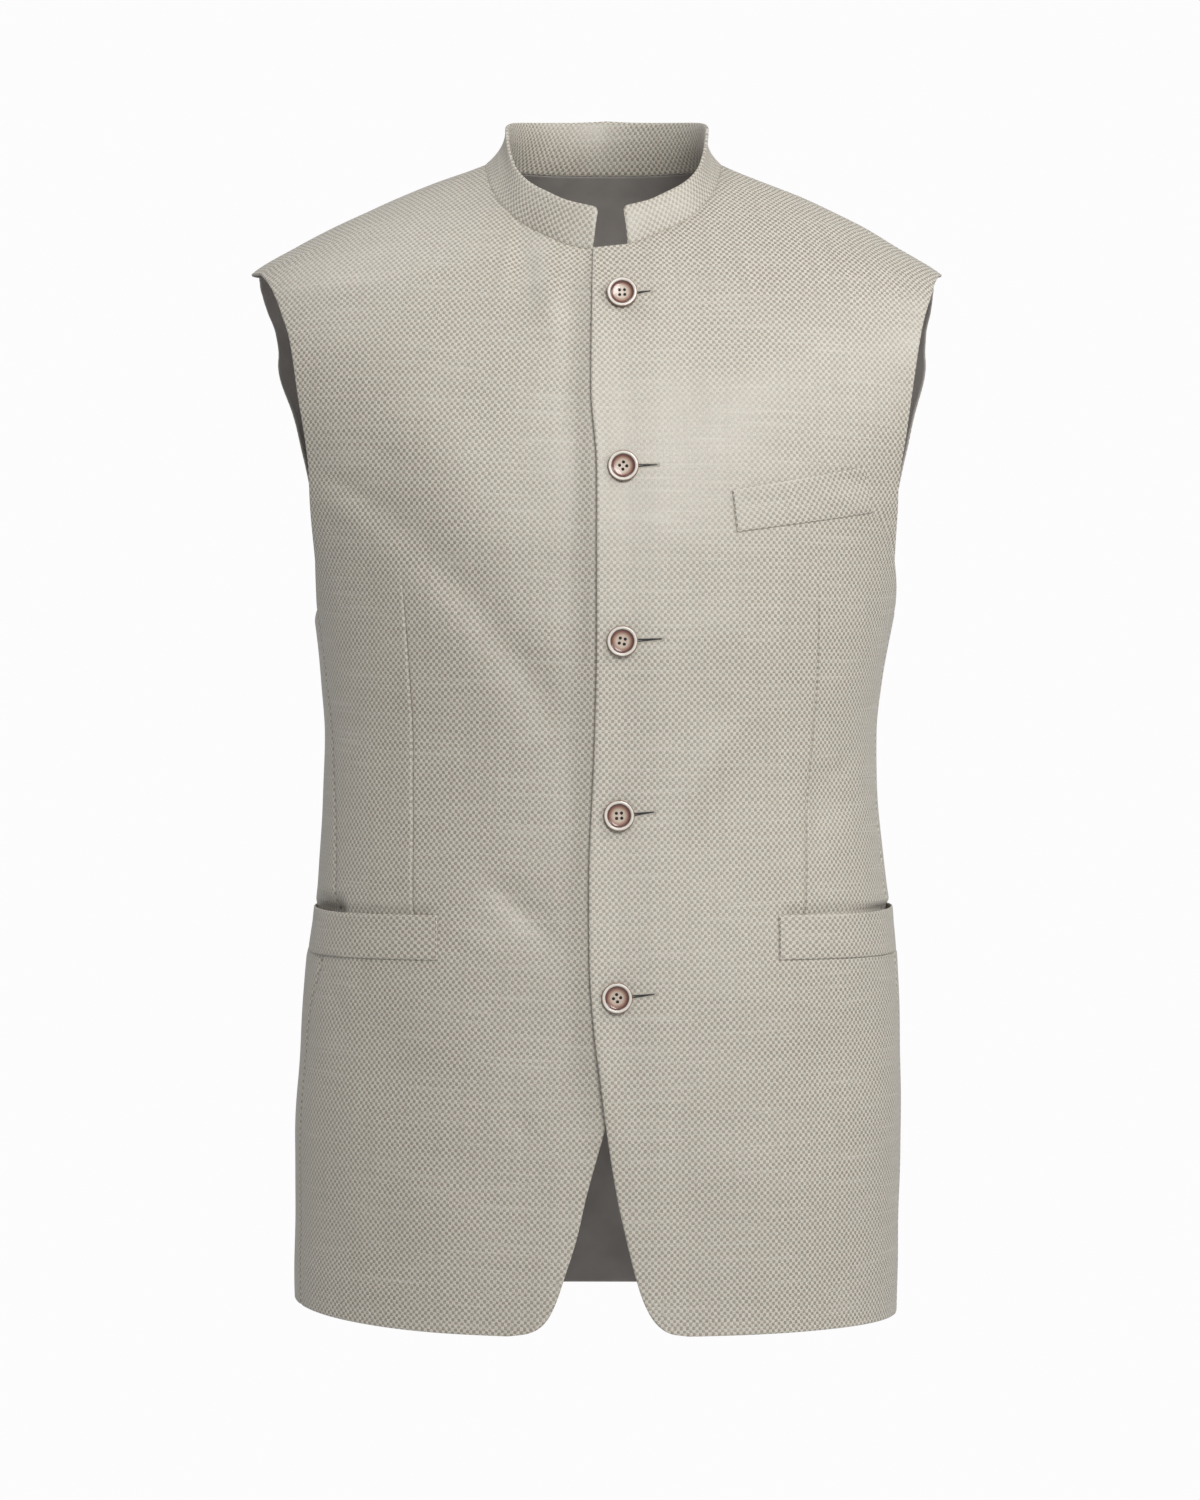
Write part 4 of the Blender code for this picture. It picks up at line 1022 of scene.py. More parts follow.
def side_panel(side, finishes):
    rows = crowded(SEAM_ROWS, SIDE_LENGTH, WELT_ROWS)
    across = edged(np.array(CROWDED_STEPS) / SIDE_WIDTH, 1.7, SIDE_FINE_COLUMNS)
    flat_coarse = flatten(side_grid(side, np.arange(SEAM_ROWS + 1.0), np.linspace(0, 1, 7)), SIDE_GRAIN)
    flat_coarse[..., 0] *= SIGN[side]
    turn, height = hung(side_grid(side, rows, across))
    flat = interpolate(flat_coarse, rows[:, None], across)
    rise = cloth_rise(turn, height)
    return worn_panel(f"{side}_side", turn, height, rise, flat, finishes, side == "right"), flat_coarse


def back_borders():
    """The back's borders: for each side its seam and armhole, and half of its top edge."""
    outer, top = {}, {}
    for side, sign in SIGN.items():
        seam = seam_path(side, REAR_SEAM_TOP, rear_seam, -sign * SEAM_OVERLAP / 2)
        armhole = armhole_path(side, "back", seam[-1])
        outer[side] = ((SEAM_ROWS, seam, 0.0), (ARMHOLE_ROWS, armhole, 0.0))
        corner = neck_crossing(side)
        neck = neck_path(sign * np.linspace(91, 180, 160))
        neck = neck[np.abs(neck[:, 0]) > abs(corner[0]) + NECK_CORNER_CLEAR]
        neck[-1, 0] = sign * math.pi
        top[side] = (
            (BACK_SHOULDER_COLUMNS, [armhole[-1], corner], 0.0),
            (BACK_NECK_COLUMNS // 2, np.concatenate([[corner], neck]), 0.0),
        )
    return outer, top


def back_grid(rows, places):
    """The back's turns and heights: rows from the hem up, places from the left side round to the right."""
    outer, top = back_borders()
    half = BACK_COLUMNS / 2
    left = along_stretches(outer["left"], rows)
    right = along_stretches(outer["right"], rows)
    upper = np.zeros((len(places), 2))
    on_left = places <= half
    upper[on_left] = along_stretches(top["left"], places[on_left])
    upper[~on_left] = along_stretches(top["right"], BACK_COLUMNS - places[~on_left])
    share = (places / BACK_COLUMNS)[:, None]
    left_end, right_end = left[0], right[0] + np.array([2 * math.pi, 0])
    lower = left_end * (1 - share) + right_end * share

    def on_plane(border):
        return np.stack([ring_point(border[:, 0], border[:, 1])[:, 0], border[:, 1]], axis=1)

    left, right, upper, lower = (on_plane(border) for border in (left, right, upper, lower))
    u, v = share[None], (rows / PANEL_ROWS)[:, None, None]
    sides = (1 - u) * left[:, None] + u * right[:, None]
    ends = (1 - v) * lower[None] + v * upper[None]
    corners = (1 - v) * ((1 - u) * lower[0] + u * lower[-1]) + v * ((1 - u) * upper[0] + u * upper[-1])
    grid = sides + ends - corners
    turn = turn_at(grid[..., 0], grid[..., 1], "back")
    return np.stack([np.where(turn < 0, turn + 2 * math.pi, turn), grid[..., 1]], axis=-1)


def back_panel(finishes):
    rows = crowded(PANEL_ROWS, PANEL_LENGTH, (SEAM_ROWS,))
    shoulder_ends = (BACK_SHOULDER_COLUMNS, BACK_COLUMNS - BACK_SHOULDER_COLUMNS)
    places = crowded(BACK_COLUMNS, BACK_WIDTH, shoulder_ends)
    flat_coarse = flatten(back_grid(np.arange(PANEL_ROWS + 1.0), np.arange(BACK_COLUMNS + 1.0)), BACK_GRAIN)
    turn, height = hung(back_grid(rows, places))
    flat = interpolate(flat_coarse, rows[:, None], places / BACK_COLUMNS)
    return worn_panel("back_panel", turn, height, cloth_rise(turn, height), flat, finishes), flat_coarse


def grid_normal(points):
    """The outward direction of a grid whose rows go up and whose columns go to the wearer's left."""
    normal = np.cross(np.gradient(points, axis=1), np.gradient(points, axis=0))
    return normal / np.maximum(np.linalg.norm(normal, axis=-1, keepdims=True), 1e-12)


def collar_angles(across):
    """The angles round the neck of the collar's foot and of its top edge, from left end to right end."""
    feet, heads = [], []
    for side in ("left", "right"):
        feet.append(neck_angle(COLLAR_END_FOOT[side]))
        from_middle = (COLLAR_END_HEAD[side] - COLLAR_TOP_SHIFT) / COLLAR_TOP_HALF_WIDTH
        heads.append(math.degrees(math.asin(from_middle)))
    return [first + (360 + last - first) * across for first, last in (feet, heads)]


def collar_foot(angle):
    """The collar's lower edge, where it stands on the folded cloth of the neckline."""
    around = np.where(angle <= 180, angle, angle - 360)
    turn, height = neck_path(around).T
    lap = np.where(around > 0, overlap_rise("left", turn, height), overlap_rise("right", turn, height))
    lap = np.where(np.abs(around) < 90, lap, 0.0)
    return cloth_point(turn, height, cloth_rise(turn, height) + lap)


def collar_band(finishes):
    """The stand collar: from its left front end round the back of the neck to its right front end."""
    across = edged(np.array(COLLAR_END_STEPS) / COLLAR_LENGTH, 2.1, COLLAR_FINE_COLUMNS)
    foot_angle, head_angle = collar_angles(across)
    foot = collar_foot(foot_angle)
    swing = np.radians(head_angle)
    folded = 180 - np.abs(head_angle - 180)
    middle = (COLLAR_TOP_FRONT + COLLAR_TOP_BACK) / 2
    half_depth = (COLLAR_TOP_BACK - COLLAR_TOP_FRONT) / 2
    head = np.stack([
        COLLAR_TOP_SHIFT + COLLAR_TOP_HALF_WIDTH * np.sin(swing),
        middle - half_depth * np.cos(swing),
        collar_height(folded),
    ], axis=1)
    from_end = np.minimum(across, 1 - across) * COLLAR_LENGTH
    inside_corner = np.clip(1 - from_end / COLLAR_CORNER, 0, 1)
    drop = COLLAR_CORNER * (1 - np.sqrt(1 - inside_corner ** 2))
    upward = head - foot
    upward /= np.linalg.norm(upward, axis=1, keepdims=True)
    head = head - upward * drop[:, None]
    foot = foot - upward * SEAM_OVERLAP
    level = np.stack([np.sin(swing), -np.cos(swing), np.zeros(len(swing))], axis=1)
    points, flat = [], []
    run = path_run((head + foot) / 2)
    for t in edged(np.array(CROWDED_STEPS) / COLLAR_HEIGHT, 1.8, COLLAR_FINE_ROWS):
        belly = collar_belly(folded) * 4 * t * (1 - t)
        soft = COLLAR_SOFTNESS * np.sin(run * 95 + 2.0 * t) * np.sin(math.pi * t)
        points.append(foot + (head - foot) * t + level * (belly + soft)[:, None])
        flat.append(np.stack([run, t * np.linalg.norm(head - foot, axis=1)], axis=1))
    points, flat = np.array(points), np.array(flat)
    normal = grid_normal(points)
    return cloth_wall("stand_collar", points, normal, flat, COLLAR_CLOTH, finishes, COLLAR_ROUNDING), flat


def welt_strip(name, outline, finishes, gape=0.0, outer_rise=0.0, tuck=0.0):
    """A welt that lies on its front: outline gives turn and height from its two ends, top and bottom."""
    inner_top, inner_bottom, outer_top, outer_bottom = np.array(outline)
    along = edged(np.array(CROWDED_STEPS) / WELT_LENGTH, 1.7, WELT_FINE_COLUMNS)[None, :]
    upward = edged(np.array(CROWDED_STEPS) / WELT_WIDTH, 1.5, WELT_FINE_ROWS)[:, None]
    bottom = inner_bottom * (1 - along[..., None]) + outer_bottom * along[..., None]
    top = inner_top * (1 - along[..., None]) + outer_top * along[..., None]
    grid = bottom * (1 - upward[..., None]) + top * upward[..., None]
    turn, height = grid[..., 0], grid[..., 1]
    at_foot, more_at_top = WELT_RISE_SHARES
    height = height + outer_rise * ease(along, *WELT_RISE_SPAN) * (at_foot + more_at_top * upward)
    closing = 1 - WELT_CLOSING * ease(along, *WELT_CLOSING_SPAN)
    opening = gape * ease(along, *WELT_OPENING_SPAN) * closing * upward ** 1.3
    lip = WELT_LIP * ease(upward, 0.55, 1.0) * ease(along, 0.02, 0.12)
    stand_off = BODY_CLOTH / 2 + WELT_STAND + WELT_CLOTH / 2
    rise = soft_rise(turn, height) + stand_off + opening + lip - tuck * ease(along, *WELT_TUCK_SPAN)
    middle = cloth_point(turn, height, rise)
    normal = ring_normal(turn, height)
    flat = np.stack(np.broadcast_arrays(along * WELT_LENGTH, upward * WELT_WIDTH), axis=-1)
    if turn[0, -1] < turn[0, 0]:
        middle, normal, flat = middle[:, ::-1], normal[:, ::-1], flat[:, ::-1]
        flat = flat * np.array([-1.0, 1.0])
    real_length = path_run(middle[len(middle) // 2])[-1]
    real_width = path_run(middle[:, middle.shape[1] // 2])[-1]
    flat = flat * np.array([real_length / WELT_LENGTH, real_width / WELT_WIDTH])
    return cloth_wall(name, middle, normal, flat, WELT_CLOTH, finishes), flat


def hip_welt(side, finishes):
    outer = math.radians(HIP_WELT_OUTER_TURN[side])
    ends = [(float(turn_at(HIP_WELT_INNER[side], z)), z) for z in (HIP_WELT_TOP, HIP_WELT_BOTTOM)]
    ends += [(outer, HIP_WELT_TOP), (outer, HIP_WELT_BOTTOM)]
    shape = (HIP_WELT_GAPE[side], HIP_WELT_OUTER_RISE, HIP_WELT_TUCK)
    return welt_strip(f"{side}_hip_welt", ends, finishes, *shape)


def breast_welt(finishes):
    corners = (CHEST_WELT_INNER_TOP, CHEST_WELT_INNER_BOTTOM, CHEST_WELT_OUTER_TOP, CHEST_WELT_OUTER_BOTTOM)
    return welt_strip("breast_welt", [(float(turn_at(x, z)), z) for x, z in corners], finishes)


def socket_of(sockets, key):
    """A node's socket by its identifier, or else by its name or number."""
    return next((socket for socket in sockets if socket.identifier == key), None) or sockets[key]


def set_inputs(tree, made, inputs):
    """Gives a node's inputs a value each, or another node's output."""
    for key, value in inputs.items():
        socket = socket_of(made.inputs, key)
        if isinstance(value, bpy.types.NodeSocket):
            tree.links.new(value, socket)
        else:
            socket.default_value = value


def add_node(tree, kind, inputs=None, **settings):
    made = tree.nodes.new(kind)
    for name, setting in settings.items():
        setattr(made, name, setting)
    set_inputs(tree, made, inputs or {})
    return made


def math_node(tree, operation, *inputs):
    """One calculation with numbers and other nodes' outputs."""
    return add_node(tree, "ShaderNodeMath", dict(enumerate(inputs)), operation=operation).outputs[0]


def vector_node(tree, operation, *inputs):
    return add_node(tree, "ShaderNodeVectorMath", dict(enumerate(inputs)), operation=operation).outputs[0]


def mix_colour(tree, factor, first, second, blend="MIX"):
    """Mixes two colours, each a tuple or another node's output."""
    first, second = ((*c, 1.0) if isinstance(c, tuple) else c for c in (first, second))
    inputs = {"Factor_Float": factor, "A_Color": first, "B_Color": second}
    made = add_node(tree, "ShaderNodeMix", inputs, data_type="RGBA", blend_type=blend)
    return socket_of(made.outputs, "Result_Color")


def map_range(tree, value, low, high, to_low=0.0, to_high=1.0, smooth=True):
    """Carries a span of values over to another one."""
    inputs = {"Value": value, "From Min": low, "From Max": high, "To Min": to_low, "To Max": to_high}
    kind = "SMOOTHSTEP" if smooth else "LINEAR"
    return add_node(tree, "ShaderNodeMapRange", inputs, interpolation_type=kind).outputs["Result"]


def noise(tree, vector, scale, detail=2.0, roughness=0.5, output="Fac"):
    inputs = {"Vector": vector, "Scale": scale, "Detail": detail, "Roughness": roughness}
    return add_node(tree, "ShaderNodeTexNoise", inputs).outputs[output]


def yarn_noise(tree, cloth, across, upward, detail, roughness=0.5):
    """Unevenness that runs along the yarns: so many changes a metre across the cloth and up it."""
    return noise(tree, vector_node(tree, "MULTIPLY", cloth, (across, upward, 1.0)), 1.0, detail, roughness)


def map_places(tree, uv_map):
    """A piece's own map, whole, and its two directions."""
    place = add_node(tree, "ShaderNodeUVMap", uv_map=uv_map).outputs["UV"]
    split = add_node(tree, "ShaderNodeSeparateXYZ", {0: place})
    return place, split.outputs[0], split.outputs[1]


def colour_ramp(tree, value, stops):
    """A colour for each value, from places and the colours there."""
    made = add_node(tree, "ShaderNodeValToRGB", {"Fac": value})
    elements = made.color_ramp.elements
    for end in (0, -1):
        elements[end].position, elements[end].color = stops[end][0], (*stops[end][1], 1.0)
    for place, colour in stops[1:-1]:
        elements.new(place).color = (*colour, 1.0)
    return made.outputs["Color"]


def weave_group():
    """Squares of crosswise floats on a ground of lengthwise floats, with uneven, slubbed yarns and painted
    shade in the grooves between the yarns.
    """
    tree = bpy.data.node_groups.new("suiting_weave", "ShaderNodeTree")
    given_sockets = (
        ("Map", "NodeSocketVector", None),
        ("Cell Width", "NodeSocketFloat", WEAVE_CELL[0]),
        ("Cell Height", "NodeSocketFloat", WEAVE_CELL[1]),
        ("Yarn", "NodeSocketFloat", YARN_WIDTH),
        ("Ground", "NodeSocketColor", (*GROUND_COLOUR, 1.0)),
        ("Spots", "NodeSocketColor", (*SPOT_COLOUR, 1.0)),
    )
    for name, kind, default in given_sockets:
        socket = tree.interface.new_socket(name, in_out="INPUT", socket_type=kind)
        if default is not None:
            socket.default_value = default
    for name, kind in {"Color": "Color", "Height": "Float", "Spot": "Float"}.items():
        tree.interface.new_socket(name, in_out="OUTPUT", socket_type=f"NodeSocket{kind}")
    given = tree.nodes.new("NodeGroupInput").outputs
    cloth = given["Map"]
    centred = vector_node(tree, "SUBTRACT", noise(tree, cloth, 60.0, output="Color"), (0.5, 0.5, 0.5))
    drifted = vector_node(tree, "MULTIPLY_ADD", centred, YARN_DRIFT, cloth)
    shifted = add_node(tree, "ShaderNodeSeparateXYZ", {0: drifted})
    waves, ribs = [], []
    for place, cell in ((shifted.outputs[0], "Cell Width"), (shifted.outputs[1], "Cell Height")):
        cells = math_node(tree, "DIVIDE", place, given[cell])
        waves.append(math_node(tree, "COSINE", math_node(tree, "MULTIPLY", cells, 2 * math.pi)))
        yarns = math_node(tree, "MULTIPLY", math_node(tree, "DIVIDE", place, given["Yarn"]), math.pi)
        ribs.append(math_node(tree, "ABSOLUTE", math_node(tree, "SINE", yarns)))
    lattice = math_node(tree, "MULTIPLY", *waves)
    fray = map_range(tree, noise(tree, cloth, 1500.0, 1.0), 0.3, 0.7, -0.16, 0.16, False)
    spot = map_range(tree, math_node(tree, "ADD", lattice, fray), -0.06, 0.16)
    spot_rib = math_node(tree, "MULTIPLY", ribs[1], spot)
    ground_rib = math_node(tree, "MULTIPLY", ribs[0], math_node(tree, "SUBTRACT", 1.0, spot))
    rib = math_node(tree, "ADD", spot_rib, ground_rib)
    # Yarns differ along their own direction: long streaks across, fainter ones up and down
    weft = map_range(tree, yarn_noise(tree, cloth, 22.0, 620.0, 2.0, 0.6), 0.3, 0.7)
    warp = map_range(tree, yarn_noise(tree, cloth, 560.0, 9.0, 2.0, 0.6), 0.35, 0.7, 0.0, 0.55)
    slub = map_range(tree, yarn_noise(tree, cloth, 16.0, 520.0, 1.0), 0.58, 0.70, 0.0, 0.26)
    spots = mix_colour(tree, weft, given["Spots"], SPOT_SHADE)
    ground = mix_colour(tree, warp, given["Ground"], GROUND_SHADE)
    colour = mix_colour(tree, slub, mix_colour(tree, spot, ground, spots), SLUB_COLOUR)
    tint = colour_ramp(tree, yarn_noise(tree, cloth, 90.0, 420.0, 1.0), YARN_TINTS)
    colour = mix_colour(tree, 1.0, colour, tint, "MULTIPLY")
    fibre = map_range(tree, yarn_noise(tree, cloth, 1500.0, 900.0, 1.0), 0.3, 0.7, 0.86, 1.14, False)
    # Painted shade: the colour is darker in the grooves between the yarns, where the relief is low, and
    # lighter on their crowns; the fibre noise is the yarns' own uneven tone.
    groove_shade_and_fibre = math_node(tree, "MULTIPLY", map_range(tree, rib, 0.0, 0.8, 0.91, 1.03, False), fibre)
    groove_shade_and_fibre_grey = add_node(tree, "ShaderNodeCombineColor", dict.fromkeys(range(3), groove_shade_and_fibre)).outputs[0]
    crown = math_node(tree, "MULTIPLY", math_node(tree, "ABSOLUTE", lattice), 0.6)
    results = {
        "Color": mix_colour(tree, 1.0, colour, groove_shade_and_fibre_grey, "MULTIPLY"),
        "Height": math_node(tree, "ADD", crown, math_node(tree, "MULTIPLY", rib, 0.4)),
        "Spot": spot,
    }
    add_node(tree, "NodeGroupOutput", results)
    return tree


def principled(name, inputs):
    """A material, its tree and its shader, which has the given inputs."""
    made = bpy.data.materials.new(name)
    made.use_nodes = True
    shader = made.node_tree.nodes["Principled BSDF"]
    set_inputs(made.node_tree, shader, inputs)
    return made, made.node_tree, shader


def face_of(tree, shader, colour, height, distance, strength):
    """Gives a shader its colour, and a relief from a height."""
    relief = add_node(tree, "ShaderNodeBump", {"Height": height, "Distance": distance, "Strength": strength})
    set_inputs(tree, shader, {"Base Color": colour, "Normal": relief.outputs["Normal"]})


def suiting_face(group):
    """The outer face: its dark spots shine more than its ground does, so they fade in a bright light."""
    shine = {"Sheen Weight": 0.10, "Specular IOR Level": 0.5, "Coat IOR": 2.1, "Coat Roughness": 0.52}
    made, tree, shader = principled("suiting_face", shine)
    place = map_places(tree, "cloth")[0]
    weave = add_node(tree, "ShaderNodeGroup", {"Map": place}, node_tree=group).outputs
    roughness = map_range(tree, weave["Spot"], 0.0, 1.0, 0.64, 0.52, False)
    set_inputs(tree, shader, {"Roughness": roughness, "Coat Weight": weave["Spot"]})
    face_of(tree, shader, weave["Color"], weave["Height"], 0.00022, 0.55)
    return made


def suiting_inside():
    """The inner face: smooth twill in a greyed taupe, much darker than the outer ground, partly as painted
    shade for the jacket's inside.
    """
    made, tree, shader = principled("suiting_inside", {"Roughness": 0.55, "Sheen Weight": 0.05})
    place, across, upward = map_places(tree, "cloth")
    diagonal = math_node(tree, "ADD", across, math_node(tree, "MULTIPLY", upward, 0.8))
    line = math_node(tree, "SINE", math_node(tree, "MULTIPLY", diagonal, 2 * math.pi / TWILL_STEP))
    cloud = map_range(tree, noise(tree, place, 40.0, 3.0), 0.3, 0.7)
    colour = mix_colour(tree, cloud, INSIDE_COLOUR_AND_SHADE, tuple(0.82 * c for c in INSIDE_COLOUR_AND_SHADE))
    colour = mix_colour(tree, map_range(tree, line, -1.0, 1.0, 0.0, 0.25, False), colour, INSIDE_LINE)
    face_of(tree, shader, colour, line, 0.00006, 0.4)
    return made


def button_horn():
    """Pale rim, brown ring inside it, a beige dish and a dark brown outer side that is partly painted shade,
    by the place along the button's profile.
    """
    shine = {"Roughness": 0.28, "Coat Weight": 0.35, "Coat Roughness": 0.12}
    made, tree, shader = principled("button_horn", shine)
    along = map_places(tree, "rings")[1]
    object_place = add_node(tree, "ShaderNodeTexCoord").outputs["Object"]
    cloud = noise(tree, object_place, 260.0, 3.0, 0.6)
    wander = map_range(tree, cloud, 0.2, 0.8, -0.006, 0.006, False)
    colour = colour_ramp(tree, math_node(tree, "ADD", along, wander), HORN_COLOURS)
    fine = map_range(tree, noise(tree, object_place, 1400.0, 2.0), 0.4, 0.7, 0.0, 0.12)
    face_of(tree, shader, mix_colour(tree, fine, colour, HORN_MOTTLE), cloud, 0.00008, 0.3)
    return made


def thread_finish(name, colour):
    """Twisted sewing thread, by the place on the object."""
    made, tree, shader = principled(name, {"Roughness": 0.7, "Sheen Weight": 0.1})
    strands = noise(tree, add_node(tree, "ShaderNodeTexCoord").outputs["Object"], 3000.0)
    pale = tuple(min(1.0, 1.6 * c + 0.012) for c in colour)
    colour = mix_colour(tree, map_range(tree, strands, 0.35, 0.7), colour, pale)
    face_of(tree, shader, colour, strands, 0.00005, 0.5)
    return made


def shaped_object(name, shape, finish=None):
    """Makes an object of a shape, in one finish."""
    mesh = bpy.data.meshes.new(name)
    shape.to_mesh(mesh)
    shape.free()
    if finish:
        mesh.materials.append(finish)
    return link_object(name, mesh)


def round_bar(name, radii, height, sides, place, finish=None):
    """A closed bar about its place's Z axis, with a radius for each end."""
    shape = bmesh.new()
    ends = {"radius1": radii[0], "radius2": radii[1], "depth": height}
    bmesh.ops.create_cone(shape, cap_ends=True, segments=sides, matrix=place, **ends)
    return shaped_object(name, shape, finish)


def worked_out(piece):
    """The mesh of a piece with its modifiers applied."""
    bpy.context.view_layer.update()
    return bpy.data.meshes.new_from_object(piece.evaluated_get(bpy.context.evaluated_depsgraph_get()))


def hole_place(turn, height=0.0):
    """The middle of one of a button's holes, at a height above the button's seat."""
    return Vector((BUTTON_HOLE_CIRCLE * math.cos(turn), BUTTON_HOLE_CIRCLE * math.sin(turn), height))


def turned_button(finish):
    """A button as it comes off the lathe; its map gives the place along the profile from the centre."""
    radius_at, height_at = (BUTTON_PROFILE_COLUMNS.index(name) for name in ("radius", "height"))
    profile = np.array(BUTTON_PROFILE)[:, [radius_at, height_at]] * (BUTTON_RADIUS, BUTTON_HEIGHT)
    run = path_run(profile)
    wanted = np.unique(np.concatenate([run, np.linspace(0, run[-1], BUTTON_SPREAD)]))
    shape = bmesh.new()
    uv = shape.loops.layers.uv.new("rings")
    rings = []
    place = {}
    for along in wanted:
        radius, height = (np.interp(along, run, profile[:, column]) for column in (0, 1))
        swing = [2 * math.pi * i / BUTTON_SIDES for i in range(BUTTON_SIDES if radius > 1e-6 else 1)]
        ring = [shape.verts.new((radius * math.cos(a), radius * math.sin(a), height)) for a in swing]
        rings.append(ring)
        place.update(dict.fromkeys(ring, along / run[-1]))
    for inner, outer in zip(rings, rings[1:]):
        for i in range(BUTTON_SIDES):
            j = (i + 1) % BUTTON_SIDES
            corners = [inner[i % len(inner)], outer[i % len(outer)]]
            corners += [outer[j % len(outer)], inner[j % len(inner)]]
            for loop in shape.faces.new(list(dict.fromkeys(corners))).loops:
                loop[uv].uv = (place[loop.vert], 0.5)
    bmesh.ops.recalc_face_normals(shape, faces=shape.faces[:])
    return shaped_object("button_blank", shape, finish)


def button_template(finish):
    """A turned button with four drilled holes."""
    blank = turned_button(finish)
    drills = []
    for turn in HOLE_TURNS:
        place = Matrix.Translation(hole_place(turn))
        radii = (BUTTON_HOLE_RADIUS, BUTTON_HOLE_RADIUS)
        drills.append(round_bar("button_drill", radii, 3 * BUTTON_HEIGHT, HOLE_SIDES, place))
        hole = blank.modifiers.new("hole", "BOOLEAN")
        hole.operation = "DIFFERENCE"
        hole.solver = "EXACT"
        hole.object = drills[-1]
    made = worked_out(blank)
    for old in [blank, *drills]:
        bpy.data.objects.remove(old)
    made.materials.clear()
    made.materials.append(finish)
    made.shade_smooth()
    made.set_sharp_from_angle(angle=math.radians(50))
    return made


def facing(outward):
    """A turn as a matrix: Z goes outward, and X stays level."""
    upward = outward.cross(Vector((1.0, 0.0, 0.0))).normalized()
    aside = upward.cross(outward).normalized()
    return Matrix((aside, upward, outward)).transposed().to_4x4()


def surface_frame(x, height, lift=0.0):
    """A place on the left front's outer face, as a matrix: X across, Y up the cloth, Z out of it."""
    turn, height = np.array(turn_at(x, height)), np.array(height)
    rise = cloth_rise(turn, height) + overlap_rise("left", turn, height) + edge_curl(turn, height) + lift
    seat = Vector(cloth_point(turn, height, rise))
    return Matrix.Translation(seat) @ facing(Vector(ring_normal(turn, height)))


def stitch_tree():
    """Geometry nodes: a rounded stitch on every point, turned by the point's own directions."""
    tree = bpy.data.node_groups.new("stitches", "GeometryNodeTree")
    sockets = (
        ("Geometry", "NodeSocketGeometry"),
        ("Stitch Length", "NodeSocketFloat"),
        ("Thread Thickness", "NodeSocketFloat"),
        ("Unevenness", "NodeSocketFloat"),
        ("Seed", "NodeSocketInt"),
        ("Thread", "NodeSocketMaterial"),
    )
    for name, kind in sockets:
        tree.interface.new_socket(name, in_out="INPUT", socket_type=kind)
    tree.interface.new_socket("Geometry", in_out="OUTPUT", socket_type="NodeSocketGeometry")
    given = tree.nodes.new("NodeGroupInput").outputs
    ball = add_node(tree, "GeometryNodeMeshUVSphere", {"Segments": 10, "Rings": 6, "Radius": 0.5})
    ways = {}
    for name in ("along", "outward"):
        way = add_node(tree, "GeometryNodeInputNamedAttribute", {"Name": name}, data_type="FLOAT_VECTOR")
        ways[name] = way.outputs["Attribute"]
    face_out = add_node(tree, "FunctionNodeAlignRotationToVector", {"Vector": ways["outward"]}, axis="Z")
    turns = {"Rotation": face_out.outputs["Rotation"], "Vector": ways["along"]}
    lie_along = add_node(tree, "FunctionNodeAlignRotationToVector", turns, axis="X", pivot_axis="Z")
    sizes = dict(zip("XYZ", (given["Stitch Length"], given["Thread Thickness"], given["Thread Thickness"])))
    size = add_node(tree, "ShaderNodeCombineXYZ", sizes).outputs[0]
    spread = {
        "Min_001": math_node(tree, "SUBTRACT", 1.0, given["Unevenness"]),
        "Max_001": math_node(tree, "ADD", 1.0, given["Unevenness"]),
        "Seed": given["Seed"],
    }
    change = add_node(tree, "FunctionNodeRandomValue", spread, data_type="FLOAT")
    inputs = {"Vector": size, "Scale": socket_of(change.outputs, "Value_001")}
    scaled = add_node(tree, "ShaderNodeVectorMath", inputs, operation="SCALE")
    placed = {
        "Points": given["Geometry"],
        "Instance": ball.outputs["Mesh"],
        "Rotation": lie_along.outputs["Rotation"],
        "Scale": scaled.outputs[0],
    }
    shape = add_node(tree, "GeometryNodeInstanceOnPoints", placed).outputs["Instances"]
    for kind in ("GeometryNodeRealizeInstances", "GeometryNodeSetShadeSmooth"):
        shape = add_node(tree, kind, {"Geometry": shape}).outputs["Geometry"]
    painted = add_node(tree, "GeometryNodeSetMaterial", {"Geometry": shape, "Material": given["Thread"]})
    add_node(tree, "NodeGroupOutput", {"Geometry": painted.outputs["Geometry"]})
    return tree


def stitches(name, tree, places, run, seed, finish):
    """A run of stitches as one plain mesh: places are (point, along, outward) for each stitch."""
    kind = next(kind for kind in (dict(zip(STITCH_COLUMNS, row)) for row in STITCHES) if kind["run"] == run)
    mesh = bpy.data.meshes.new(name)
    mesh.from_pydata([tuple(point) for point, _, _ in places], [], [])
    for column, label in ((1, "along"), (2, "outward")):
        attribute = mesh.attributes.new(label, "FLOAT_VECTOR", "POINT")
        attribute.data.foreach_set("vector", np.array([p[column] for p in places], np.float32).ravel())
    made = link_object(name, mesh)
    modifier = made.modifiers.new("stitches", "NODES")
    modifier.node_group = tree
    values = {
        "Stitch Length": kind["length"],
        "Thread Thickness": kind["thickness"],
        "Unevenness": kind["unevenness"],
        "Seed": seed,
        "Thread": finish,
    }
    for socket in tree.interface.items_tree:
        if socket.in_out == "INPUT" and socket.name in values:
            modifier[socket.identifier] = values[socket.name]
    plain = worked_out(made)
    made.modifiers.remove(modifier)
    made.data = plain
    return made


def add_sewing(piece, slot):
    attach(piece, "root")


